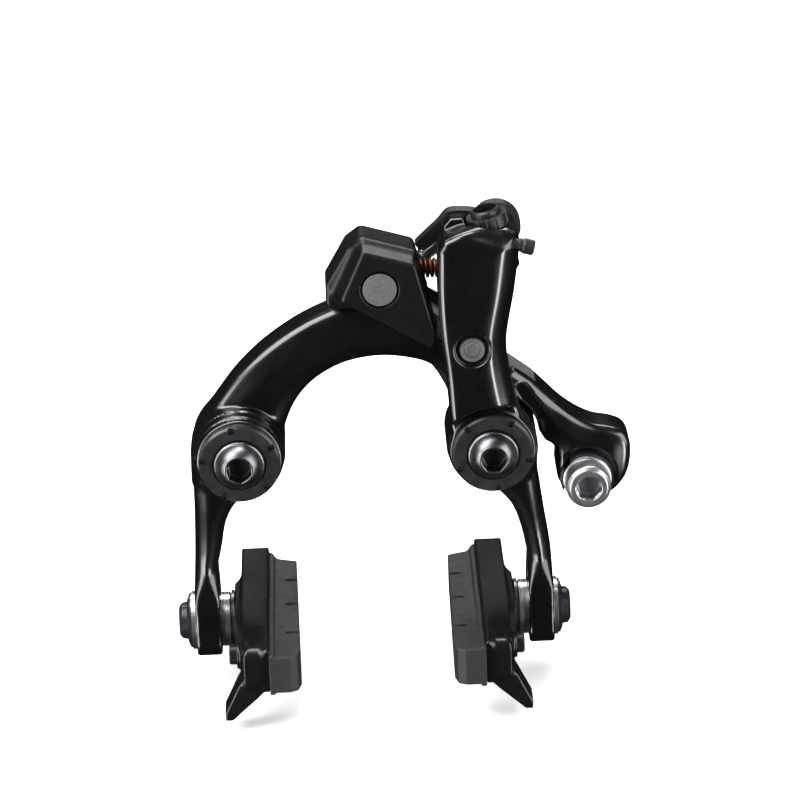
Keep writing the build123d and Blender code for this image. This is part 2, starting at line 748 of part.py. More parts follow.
def adjuster_barrel():
    """Threaded barrel with the cable housing socket in its upper end."""
    with BuildPart() as piece:
        with BuildSketch(ADJUSTER.offset(-3.2)):
            Circle(3.3)
        extrude(amount=13.2)
        chamfer(piece.faces().sort_by(Axis.Z)[-1].edges(), length=0.35)
        # housing socket, then the cable hole
        with BuildSketch(ADJUSTER.offset(5.2)):
            Circle(2.6)
        extrude(amount=10, mode=Mode.SUBTRACT)
        with BuildSketch(ADJUSTER.offset(-5)):
            Circle(1.0)
        extrude(amount=20, mode=Mode.SUBTRACT)
    return piece.part


def adjuster_knob():
    """Knurled nut that lifts the barrel."""
    with BuildPart() as piece:
        with BuildSketch(ADJUSTER.offset(5.95)):
            Circle(4.55)
        extrude(amount=2.7)
        with BuildSketch(ADJUSTER.offset(5.0)):
            with PolarLocations(4.75, 16):
                Circle(0.45)
        extrude(amount=5, mode=Mode.SUBTRACT)
        with BuildSketch(ADJUSTER.offset(5)):
            Circle(ADJUSTER_BORE_R)
        extrude(amount=5, mode=Mode.SUBTRACT)
    return piece.part


def quick_release_lever():
    """Hub ring around the lever pin, with the blade swept to the left."""
    with BuildPart() as piece:
        with BuildSketch(xz(-4.9)):
            with BuildLine():
                Spline(*LEVER_TOP)
                Polyline(LEVER_TOP[-1], LEVER_TIP, LEVER_UNDERSIDE[0])
                Spline(*LEVER_UNDERSIDE)
                Line(LEVER_UNDERSIDE[-1], LEVER_TOP[0])
            make_face()
            with Locations(HUB):
                Circle(5.5)
        extrude(amount=3.4)
        # front recess of the hub, then the pin bore
        with BuildSketch(xz(-6.6)):
            with Locations(HUB):
                Circle(4.3)
        extrude(amount=4, mode=Mode.SUBTRACT)
        with BuildSketch(xz(-4)):
            with Locations(HUB):
                Circle(1.8)
        extrude(amount=8, mode=Mode.SUBTRACT)
    return piece.part


def lever_pin():
    with BuildPart() as piece:
        # head at the rear
        with BuildSketch(xz(-3.8)):
            with Locations(HUB):
                Circle(3.0)
        extrude(amount=1.0)
        with BuildSketch(xz(-4)):
            with Locations(HUB):
                Circle(LEVER_PIN_R)
        extrude(amount=4.4)
    return piece.part


# ======================= brake shoes =======================
# "inset" is the distance from the foot's inner face towards the rim;
# it is negative on the outer side, where the bolt head is.
SHOE_MID_Z = SHOE_Z + 0.9    # middle height of the holder and pad
HOLDER_HEIGHT = 10.4
BACK_HEIGHT = 9.2
PAD_HEIGHT = 9.6
PAD_SCREW_Y = -28.5
PAD_SCREW_R = 1.25
GROOVE_YS = (-1.5, -14.2, -28.9)
FACE_GAP = 0.03              # between the foot and the washers on either side

# half sections about the shoe bolt axis: inset, radius
SHOE_BOLT = [
    (8.2, 0), (8.2, 2.5), (7.7, M6_R), (-7.75, M6_R),
    (-7.75, 4.3), (-8.9, 4.1), (-9.6, 3.3), (-9.6, 0),
]
SHOE_RINGS = {
    # flat washer against the foot, then the dished one under the bolt head
    "outer_washer": [
        (-FOOT_T - FACE_GAP, M6_R), (-FOOT_T - FACE_GAP, 6.6), (-6.7, 6.6), (-6.7, M6_R),
    ],
    "dished_washer": [(-6.72, M6_R), (-6.72, 6.2), (-7.2, 6.2), (-7.72, 4.9), (-7.72, M6_R)],
    # between the foot and the shoe holder
    "spacer": [(FACE_GAP, M6_R), (FACE_GAP, 6.2), (2.0, 6.2), (2.4, 5.6), (2.4, M6_R)],
    "seat_washer": [(2.42, M6_R), (2.42, 6.5), (3.05, 6.5), (3.05, M6_R)],
}

# plan outlines: inset, y
HOLDER_PLAN = [
    (4.5, 15.2), (10.9, 15.2), (10.9, -40.0), (5.4, -40.0), (4.7, -39.0), (4.5, -31.0),
]
HOLDER_BACK = [
    (5.0, 0.6), (4.5, 0.6), (3.08, -2.6), (3.08, -20.0), (4.5, -31.0), (5.0, -31.0),
]
PAD_PLAN = [
    (10.92, 13.8), (13.2, 10.4), (17.3, 8.9), (17.9, -38.2),
    (17.2, -40.9), (15.4, -41.8), (10.92, -41.8),
]
GROOVE = [(14.6, -0.55), (19, -0.75), (19, 0.75), (14.6, 0.55)]   # y from the groove's middle

# front view of the wheel guide fin: inset, height from SHOE_MID_Z
FIN = [
    (10.6, -4.6), (8.2, -6.6), (2.4, -11.9), (0.8, -12.0),
    (0.7, -10.2), (3.9, -3.6), (5.2, -2.0),
]


@dataclass
class Foot:
    face_x: float    # X of the foot's inner face
    inward: int      # sign of X towards the rim

    def x(self, inset):
        return self.face_x + self.inward * inset

    def outline(self, points, base=0.0):
        """Points of (inset, distance from base) as sketch points."""
        return [(self.x(inset), base + distance) for inset, distance in points]

    def section(self, half_root, half_tip, depth):
        """Tapered rail section, narrowing inwards, from a plane's origin."""
        tip = self.inward * depth
        return [(0, -half_root), (tip, -half_tip), (tip, half_tip), (0, half_root)]

    def plane(self, inset, y, facing=1):
        """Plane across the shoe bolt direction, facing inwards, or outwards for -1."""
        return Plane(
            origin=(self.x(inset), y, SHOE_Z),
            x_dir=(0, 1, 0),
            z_dir=(facing * self.inward, 0, 0),
        )

    def bolt_axis(self):
        return Axis((self.face_x, SHOE_Y, SHOE_Z), (1, 0, 0))


def shoe_bolt(foot):
    with BuildPart() as piece:
        with BuildSketch(Plane.XY.offset(SHOE_Z)):
            with BuildLine():
                Polyline(*foot.outline(SHOE_BOLT, SHOE_Y), close=True)
            make_face()
        revolve(axis=foot.bolt_axis())
        # hex socket
        with BuildSketch(foot.plane(-7.4, SHOE_Y, facing=-1)):
            RegularPolygon(2.0, 6, major_radius=False)
        extrude(amount=5, mode=Mode.SUBTRACT)
    return piece.part


def shoe_ring(foot, half_section):
    with BuildPart() as piece:
        with BuildSketch(Plane.XY.offset(SHOE_Z)):
            with BuildLine():
                Polyline(*foot.outline(half_section, SHOE_Y), close=True)
            make_face()
        revolve(axis=foot.bolt_axis())
    return piece.part


def shoe_holder(foot):
    with BuildPart() as piece:
        # body, bevelled on the outside at the front, rounded at the rear and outside
        with BuildSketch(Plane.XY.offset(SHOE_MID_Z - HOLDER_HEIGHT / 2)):
            with BuildLine():
                Polyline(*foot.outline(HOLDER_PLAN), close=True)
            make_face()
        extrude(amount=HOLDER_HEIGHT)
        fillet(piece.edges().filter_by(Axis.Z).group_by(Axis.Y)[-1], radius=1.2)
        long_edges = piece.edges().filter_by(Axis.Y)
        fillet(long_edges.sort_by(Axis.X, reverse=foot.inward < 0)[:2], radius=1.5)
        # raised back under the bolt
        with BuildSketch(Plane.XY.offset(SHOE_MID_Z - BACK_HEIGHT / 2)):
            with BuildLine():
                Polyline(*foot.outline(HOLDER_BACK), close=True)
            make_face()
        extrude(amount=BACK_HEIGHT)
        # screw boss near the front
        with BuildSketch(foot.plane(3.6, PAD_SCREW_Y)):
            Circle(3.2)
        extrude(amount=2.5)
        # wheel guide fin at the front lower edge
        with BuildSketch(xz(-32.9)):
            with BuildLine():
                Polyline(*foot.outline(FIN, SHOE_MID_Z), close=True)
            make_face()
        extrude(amount=6.6)
        # channel for the pad rail, bolt thread, pad screw hole
        with BuildSketch(xz(20, foot.x(8.4), SHOE_MID_Z)):
            with BuildLine():
                Polyline(*foot.section(half_root=3.4, half_tip=2.6, depth=5), close=True)
            make_face()
        extrude(amount=54.4, mode=Mode.SUBTRACT)
        with BuildSketch(foot.plane(2.0, SHOE_Y)):
            Circle(M6_R + RUN)
        extrude(amount=6.4, mode=Mode.SUBTRACT)
        with BuildSketch(foot.plane(2.0, PAD_SCREW_Y)):
            Circle(PAD_SCREW_R)
        extrude(amount=8, mode=Mode.SUBTRACT)
    return piece.part


def brake_pad(foot):
    with BuildPart() as piece:
        with BuildSketch(Plane.XY.offset(SHOE_MID_Z - 4.9)):
            with BuildLine():
                Polyline(*foot.outline(PAD_PLAN), close=True)
            make_face()
        extrude(amount=PAD_HEIGHT)
        # drainage grooves across the face
        for groove_y in GROOVE_YS:
            with BuildSketch(Plane.XY.offset(SHOE_MID_Z - 6)):
                with BuildLine():
                    Polyline(*foot.outline(GROOVE, groove_y), close=True)
                make_face()
            extrude(amount=14, mode=Mode.SUBTRACT)
        # rail held in the holder's channel
        with BuildSketch(xz(13.0, foot.x(8.45), SHOE_MID_Z)):
            with BuildLine():
                Polyline(*foot.section(half_root=3.34, half_tip=2.86, depth=3.0), close=True)
            make_face()
        extrude(amount=47.3)
        # pad screw hole
        with BuildSketch(foot.plane(6.0, PAD_SCREW_Y)):
            Circle(PAD_SCREW_R)
        extrude(amount=5.0, mode=Mode.SUBTRACT)
    return piece.part


def pad_screw(foot):
    with BuildPart() as piece:
        with BuildSketch(foot.plane(3.6, PAD_SCREW_Y, facing=-1)):
            Circle(2.3)
        extrude(amount=1.7)
        outermost = 0 if foot.inward > 0 else -1
        chamfer(piece.faces().sort_by(Axis.X)[outermost].edges(), length=0.3)
        with BuildSketch(foot.plane(3.0, PAD_SCREW_Y)):
            Circle(PAD_SCREW_R)
        extrude(amount=7.8)
        # hex socket
        with BuildSketch(foot.plane(3.0, PAD_SCREW_Y, facing=-1)):
            RegularPolygon(1.0, 6, major_radius=False)
        extrude(amount=4, mode=Mode.SUBTRACT)
    return piece.part


# ======================= build and write =======================
SINGLE_PIECES = (
    stay_plate, pivot_sleeves, thrust_washers, pivot_caps, mounting_bolts,
    left_arm, cam_plate, spring_housing, housing_pin, spring_tension_screw,
    return_spring, cable_clamp_plate, cable_clamp_bolt,
    right_arm, roller_pin, pin_retaining_ring, cam_roller, centering_screw,
    adjuster_barrel, adjuster_knob, quick_release_lever, lever_pin,
)
SHOE_PIECES = (shoe_bolt, shoe_holder, brake_pad, pad_screw)
SIDES = (
    ("left", LEFT_PIVOT, Foot(face_x=FOOT_IN_L, inward=1)),
    ("right", RIGHT_PIVOT, Foot(face_x=FOOT_IN_R, inward=-1)),
)

os.makedirs("parts", exist_ok=True)

for build in SINGLE_PIECES:
    save(build(), build.__name__)

for side, pivot, foot in SIDES:
    save(bushing(pivot), f"{side}_bushing")
    for build in SHOE_PIECES:
        save(build(foot), f"{side}_{build.__name__}")
    for ring_name, half_section in SHOE_RINGS.items():
        save(shoe_ring(foot, half_section), f"{side}_{ring_name}")
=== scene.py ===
# A dual-pivot rim brake caliper: a rear arm (left_arm) and a front arm (right_arm) on two pivots,
# with a spring housing, shoes and bolts. +x is right, -y is the front, +z is up. The pivot axes run
# along y through z = 0, left and right of the origin. Shapes are in millimetres, turned into metres
# when a mesh is made; the studio is in metres.
import json
import math
import bpy
import numpy as np
from mathutils import Matrix, Vector


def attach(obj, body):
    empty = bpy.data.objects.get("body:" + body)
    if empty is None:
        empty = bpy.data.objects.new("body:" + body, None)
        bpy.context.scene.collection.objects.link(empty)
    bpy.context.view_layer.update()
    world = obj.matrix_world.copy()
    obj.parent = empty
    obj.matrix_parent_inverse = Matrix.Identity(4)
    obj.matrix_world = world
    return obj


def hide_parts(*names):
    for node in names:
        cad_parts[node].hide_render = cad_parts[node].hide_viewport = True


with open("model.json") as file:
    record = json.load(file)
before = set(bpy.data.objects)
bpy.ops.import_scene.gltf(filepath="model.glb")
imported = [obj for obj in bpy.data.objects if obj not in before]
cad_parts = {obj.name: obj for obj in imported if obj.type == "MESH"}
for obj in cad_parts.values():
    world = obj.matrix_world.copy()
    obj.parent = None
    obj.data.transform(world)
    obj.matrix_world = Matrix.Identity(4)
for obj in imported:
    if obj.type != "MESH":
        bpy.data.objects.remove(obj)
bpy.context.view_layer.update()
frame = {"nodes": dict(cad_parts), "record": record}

GRID_FACTOR = 1.0

# places shared by several pieces, as (x, z) unless noted
PIVOT_X = 28.0
LEFT_PIVOT, RIGHT_PIVOT = (-PIVOT_X, 0), (PIVOT_X, 0)
ROLLER_PIN = (23.94, 25.05)
HOUSING_PIN = (4.3, 38.9)
CLAMP = (49.1, -9.7)
PIVOT_BORE = 6.22                                      # radius
LEFT_LEG_FACE, RIGHT_LEG_FACE = -34.1, 35.4            # x of each leg's inner face
SCREW_ORIGIN, SCREW_AXIS = (34.3, -18.0, 47.9), (0.96, 0, -0.28)       # centring screw, x y z

# ------------------------------------------------------------------ outlines
CURVE_STEP = 0.5
TABLE_PAD, TABLE_STEP = 6.0, 0.2       # margin and spacing of an outline's distance table
EXACT_LIMIT = 3000                     # requests smaller than this need no table
CHUNK = 2500                           # points measured at a time


def smooth(points):
    """Hermite curve through the points, tangents scaled by chord length."""
    points = np.array(points, float)
    ends = np.vstack([2 * points[0] - points[1], points, 2 * points[-1] - points[-2]])
    run = []
    for before, start, end, after in zip(ends, ends[1:], ends[2:], ends[3:]):
        chord = np.linalg.norm(end - start)
        count = max(2, int(chord / CURVE_STEP))
        t = np.linspace(0, 1, count, endpoint=False)[:, None]
        leave = (end - before) / (chord + np.linalg.norm(start - before)) * chord
        arrive = (after - start) / (np.linalg.norm(after - end) + chord) * chord
        run.append((2 * t**3 - 3 * t**2 + 1) * start + (t**3 - 2 * t**2 + t) * leave
                   + (-2 * t**3 + 3 * t**2) * end + (t**3 - t**2) * arrive)
    return np.vstack(run + [points[-1:]])


def arc(centre, radius, start, end, count=24):
    """Points on an arc, angles in degrees."""
    angle = np.radians(np.linspace(start, end, count))
    return np.stack([centre[0] + radius * np.cos(angle), centre[1] + radius * np.sin(angle)], 1)


def joined(*runs):
    """Runs of points end to end, without repeated points."""
    points = np.vstack([np.array(run, float) for run in runs])
    keep = np.ones(len(points), bool)
    keep[1:] = np.linalg.norm(np.diff(points, axis=0), axis=1) > 1e-4
    return points[keep]


def measure(across, up, tails, tips, closed):
    """Distance from points to segments; negative inside a closed outline by winding number."""
    result = np.empty(across.size)
    tail_x, tail_y, tip_x, tip_y = (
        k[None].astype(np.float32) for k in (tails[:, 0], tails[:, 1], tips[:, 0], tips[:, 1]))
    edge_x, edge_y = tip_x - tail_x, tip_y - tail_y
    length2 = edge_x * edge_x + edge_y * edge_y + 1e-9
    for first in range(0, across.size, CHUNK):
        part = slice(first, first + CHUNK)
        x = across[part, None].astype(np.float32)
        y = up[part, None].astype(np.float32)
        from_x, from_y = x - tail_x, y - tail_y
        t = np.clip((from_x * edge_x + from_y * edge_y) / length2, 0, 1)
        off_x, off_y = from_x - edge_x * t, from_y - edge_y * t
        distance = np.sqrt((off_x * off_x + off_y * off_y).min(1))
        if closed:
            turn = edge_x * from_y - edge_y * from_x
            below, above = tail_y <= y, tip_y > y
            winding = ((below & above & (turn > 0)).sum(1)
                       - (~below & ~above & (turn < 0)).sum(1))
            distance = np.where(winding != 0, -distance, distance)
        result[part] = distance
    return result


class Outline:
    """Distance to a line; exact for small requests, from a fine table for large ones."""

    def __init__(self, points, closed=False):
        points = np.array(points, float)
        tips = np.roll(points, -1, axis=0) if closed else points[1:]
        self.segments = points[:len(tips)], tips, closed
        self.low, self.high = points.min(0) - TABLE_PAD, points.max(0) + TABLE_PAD
        self.table = None

    def make_table(self):
        axes = [np.arange(self.low[i], self.high[i] + TABLE_STEP, TABLE_STEP) for i in (0, 1)]
        across, up = np.meshgrid(*axes, indexing="ij")
        self.table = measure(across.ravel(), up.ravel(), *self.segments).reshape(across.shape)
        self.end = np.array([axis[-1] for axis in axes])

    def __call__(self, across, up):
        across, up = np.broadcast_arrays(across, up)
        if self.table is None and across.size < EXACT_LIMIT:
            return measure(across.ravel(), up.ravel(), *self.segments).reshape(across.shape)
        if self.table is None:
            self.make_table()
        table = self.table
        near_a = np.clip(across, self.low[0], self.end[0] - 1e-6)
        near_u = np.clip(up, self.low[1], self.end[1] - 1e-6)
        beyond = np.sqrt((across - near_a) ** 2 + (up - near_u) ** 2)
        part_a, part_u = (near_a - self.low[0]) / TABLE_STEP, (near_u - self.low[1]) / TABLE_STEP
        i = np.clip(part_a.astype(np.int64), 0, table.shape[0] - 2)
        j = np.clip(part_u.astype(np.int64), 0, table.shape[1] - 2)
        part_a, part_u = part_a - i, part_u - j
        lower = table[i, j] * (1 - part_a) + table[i + 1, j] * part_a
        upper = table[i, j + 1] * (1 - part_a) + table[i + 1, j + 1] * part_a
        return lower * (1 - part_u) + upper * part_u + beyond


def polygon(points):
    """Signed distance to a closed outline, negative inside."""
    return Outline(points, closed=True)


def rounded(points, radius):
    """Signed distance to a convex outline with its corners rounded."""
    points = np.array(points, float)
    following = np.roll(points, -1, axis=0)
    edges = following - points
    edges /= np.linalg.norm(edges, axis=1)[:, None]
    area = np.sum(points[:, 0] * following[:, 1] - following[:, 0] * points[:, 1])
    normals = np.stack([-edges[:, 1], edges[:, 0]], 1) * np.sign(area)
    inset = []
    for i in range(len(points)):
        pair = np.array([normals[i - 1], normals[i]])
        reach = np.array([normal @ points[i] + radius for normal in pair])
        inset.append(np.linalg.solve(pair, reach))
    core = polygon(inset)
    return lambda across, up: core(across, up) - radius


# ------------------------------------------------------------------ distance fields
def meet(first, second, radius):
    """Where two solids overlap, the edge between them rounded by radius."""
    first, second = first + radius, second + radius
    outside = np.sqrt(np.maximum(first, 0) ** 2 + np.maximum(second, 0) ** 2)
    return np.minimum(np.maximum(first, second), 0) + outside - radius


def slab(profile, low, high, along, radius):
    """A profile swept from low to high, all edges rounded."""
    return meet(profile, np.abs(along - (low + high) / 2.0) - (high - low) / 2.0, radius)


def fuse(first, second, soft):
    """Union with a soft joint."""
    mix = np.clip(0.5 + 0.5 * (second - first) / soft, 0, 1)
    return second * (1 - mix) + first * mix - soft * mix * (1 - mix)


def trim(first, second, soft):
    """Overlap with a soft edge."""
    return -fuse(-first, -second, soft)


def cut(body, tool, soft):
    return trim(body, -tool, soft)


def radial(across, up, centre=(0, 0)):
    """Distance from a centre in a plane."""
    return np.sqrt((across - centre[0]) ** 2 + (up - centre[1]) ** 2)


def ease(value, start, end):
    """0 at start rising smoothly to 1 at end."""
    t = np.clip((value - start) / (end - start), 0, 1)
    return t * t * (3 - 2 * t)


def local(x, y, z, origin, axis):
    """Coordinates along an axis and in two directions across it."""
    main = np.array(axis, float)
    main /= np.linalg.norm(main)
    side = np.array((0.0, 1.0, 0.0)) - main[1] * main
    side /= np.linalg.norm(side)
    third = np.cross(main, side)
    x, y, z = x - origin[0], y - origin[1], z - origin[2]
    return [x * way[0] + y * way[1] + z * way[2] for way in (main, side, third)]


def hexagon(across, up, inradius, turn):
    sector = math.pi / 3
    angle = np.arctan2(up, across) - turn
    angle = (angle + sector / 2) % sector - sector / 2
    return radial(across, up) * np.cos(angle) - inradius


# ------------------------------------------------------------------ meshing
CORNERS = list(np.ndindex(2, 2, 2))
SETTLE_PASSES = 2
PROBE = 0.04                # step for the slope of a field


def settle(points, field, grid):
    """Moves points onto the zero surface, none further than 0.9 of a cell."""
    start = points
    for _ in range(SETTLE_PASSES):
        x, y, z = points.T
        here = field(x, y, z)
        slope = np.stack([field(x + PROBE, y, z) - here, field(x, y + PROBE, z) - here,
                          field(x, y, z + PROBE) - here], 1) / PROBE
        move = -(here / ((slope * slope).sum(1) + 1e-6))[:, None] * slope
        length = np.linalg.norm(move, axis=1)
        move *= np.minimum(1, 0.6 * grid / np.maximum(length, 1e-9))[:, None]
        offset = points + move - start
        length = np.linalg.norm(offset, axis=1)
        points = start + offset * np.minimum(1, 0.9 * grid / np.maximum(length, 1e-9))[:, None]
    return points


def surface_net(field, low, high, grid):
    """Points and quads on the zero surface of a field, one point per cell it crosses."""
    axes = [np.arange(low[i] - 1.5 * grid, high[i] + 2.5 * grid, grid) for i in range(3)]
    values = np.broadcast_to(field(*np.ix_(*axes)), tuple(len(axis) for axis in axes))
    inside = values < 0
    size = [n - 1 for n in values.shape]
    count = np.zeros(size, np.int8)
    for i, j, k in CORNERS:
        count += inside[i:i + size[0], j:j + size[1], k:k + size[2]]
    mixed = (count > 0) & (count < 8)
    cells = np.nonzero(mixed)
    total = len(cells[0])
    index = np.full(mixed.shape, -1, np.int64)
    index[cells] = np.arange(total)

    # each point is the mean of the crossings on its cell's edges
    at_corner = {c: values[tuple(n + step for n, step in zip(cells, c))] for c in CORNERS}
    crossing_sum = np.zeros((total, 3))
    crossings = np.zeros(total)
    for corner in CORNERS:
        for axis in range(3):
            if corner[axis]:
                continue
            other = list(corner)
            other[axis] = 1
            near, far = at_corner[corner], at_corner[tuple(other)]
            crossed = (near < 0) != (far < 0)
            place = np.zeros((total, 3)) + corner
            place[:, axis] = np.where(crossed, near / np.where(crossed, near - far, 1), 0)
            crossing_sum += place * crossed[:, None]
            crossings += crossed
    points = np.stack(cells, 1) + crossing_sum / crossings[:, None]
    points = points * grid + np.array([axis[0] for axis in axes])

    # each crossed grid edge gives a quad between its four cells, facing outward
    quads = []
    for axis in range(3):
        second, third = (axis + 1) % 3, (axis + 2) % 3
        lower = [slice(None)] * 3
        upper = [slice(None)] * 3
        lower[axis], upper[axis] = slice(0, -1), slice(1, None)
        starts_in = inside[tuple(lower)]
        edges = np.stack(np.nonzero(starts_in != inside[tuple(upper)]), 1)
        for side in (second, third):
            edges = edges[(edges[:, side] > 0) & (edges[:, side] < mixed.shape[side])]
        ring = []
        for step_second, step_third in ((-1, -1), (0, -1), (0, 0), (-1, 0)):
            cell = edges.copy()
            cell[:, second] += step_second
            cell[:, third] += step_third
            ring.append(index[tuple(cell.T)])
        ring = np.stack(ring, 1)
        flip = ~starts_in[tuple(edges.T)]
        ring[flip] = ring[flip][:, ::-1]
        quads.append(ring)
    return settle(points, field, grid), np.vstack(quads)


def build(name, field, low, high, grid, slot, rides, replaces=None, finish=None):
    """Makes an object from a field between two corners; finish overrides the slot's material."""
    points, quads = surface_net(field, low, high, grid * GRID_FACTOR)
    mesh = bpy.data.meshes.new(name)
    mesh.vertices.add(len(points))
    mesh.vertices.foreach_set("co", (points / 1000.0).astype(np.float32).ravel())
    mesh.loops.add(len(quads) * 4)
    mesh.loops.foreach_set("vertex_index", quads.astype(np.int32).ravel())
    mesh.polygons.add(len(quads))
    mesh.polygons.foreach_set("loop_start", np.arange(0, len(quads) * 4, 4, dtype=np.int32))
    mesh.update(calc_edges=True)
    mesh.validate()
    mesh.update()
    mesh.polygons.foreach_set("use_smooth", np.ones(len(mesh.polygons), bool))
    made = bpy.data.objects.new(name, mesh)
    bpy.context.scene.collection.objects.link(made)
    mesh.materials.append(MATERIALS[finish or SLOT_FINISH[slot]])
    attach(made, rides)
    if replaces:
        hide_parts(replaces)


# ------------------------------------------------------------------ materials
def set_inputs(tree, node, inputs):
    """Links each input from a socket, or gives it a value."""
    for key, value in inputs.items():
        if isinstance(value, bpy.types.NodeSocket):
            tree.links.new(value, node.inputs[key])
        else:
            node.inputs[key].default_value = value


def add_node(tree, kind, inputs={}):
    node = tree.nodes.new("ShaderNode" + kind)
    set_inputs(tree, node, inputs)
    return node


def new_material(name):
    material = bpy.data.materials.new(name)
    material.use_nodes = True
    tree = material.node_tree
    tree.nodes.clear()
    output = add_node(tree, "OutputMaterial")
    shader = add_node(tree, "BsdfPrincipled")
    tree.links.new(shader.outputs[0], output.inputs[0])
    return material, tree, shader


def coords(tree):
    """Object coordinates, from one node per material."""
    for node in tree.nodes:
        if node.bl_idname == "ShaderNodeTexCoord":
            return node.outputs["Object"]
    return add_node(tree, "TexCoord").outputs["Object"]


def noise(tree, scale, detail=3.0, roughness=0.5, vector=None):
    return add_node(tree, "TexNoise", {
        "Scale": scale, "Detail": detail, "Roughness": roughness,
        "Vector": vector or coords(tree)}).outputs[0]


def remap(tree, value, low, high, source=(0.3, 0.7)):
    return add_node(tree, "MapRange", {
        "From Min": source[0], "From Max": source[1], "To Min": low, "To Max": high,
        "Value": value}).outputs["Result"]


def mix_colors(tree, factor, first, second):
    node = add_node(tree, "Mix")
    node.data_type = "RGBA"
    set_inputs(tree, node, {0: factor, 6: first, 7: second})
    return node.outputs[2]


def mottle(tree, pattern, colors):
    """Two colours mixed by a noise pattern."""
    return mix_colors(tree, remap(tree, pattern, 0, 1), (*colors[0], 1), (*colors[1], 1))


def bump(tree, height, strength, distance):
    return add_node(tree, "Bump", {
        "Strength": strength, "Distance": distance, "Height": height}).outputs[0]


def paint(name, colors, rough, metallic=0.0, coat=0.0, peel=0.05, grain=900.0, specular=0.5,
          depth=0.0003, worn=None):
    """Coated or moulded surface. grain is the noise scale, peel and depth its bump;
    worn is the pointiness range over which edges take on a colour, and that colour."""
    material, tree, shader = new_material(name)
    fine = noise(tree, grain, detail=4)
    color = mottle(tree, fine, colors)
    if worn:
        geometry = add_node(tree, "NewGeometry")
        edge = remap(tree, geometry.outputs["Pointiness"], 0, 1, source=worn[0])
        color = mix_colors(tree, edge, color, (*worn[1], 1))
    set_inputs(tree, shader, {
        "Base Color": color, "Roughness": remap(tree, noise(tree, grain / 9.0), *rough),
        "Metallic": metallic, "Specular IOR Level": specular,
        "Coat Weight": coat, "Coat Roughness": 0.04})
    if peel:
        set_inputs(tree, shader, {"Normal": bump(tree, fine, peel, depth)})
    return material


def turned(name, colors, rough, axis=1, lines=9000.0, strength=0.12, metallic=1.0):
    """Metal with fine turning marks: noise of scale lines along one axis (0 x, 1 y, 2 z)."""
    material, tree, shader = new_material(name)
    scale = [60.0, 60.0, 60.0]
    scale[axis] = lines
    mapping = add_node(tree, "Mapping", {"Scale": scale, "Vector": coords(tree)})
    marks = noise(tree, 1.0, detail=4, roughness=0.6, vector=mapping.outputs[0])
    set_inputs(tree, shader, {
        "Base Color": mottle(tree, noise(tree, 350.0), colors),
        "Roughness": remap(tree, marks, *rough), "Metallic": metallic,
        "Normal": bump(tree, marks, strength, distance=0.00006)})
    return material


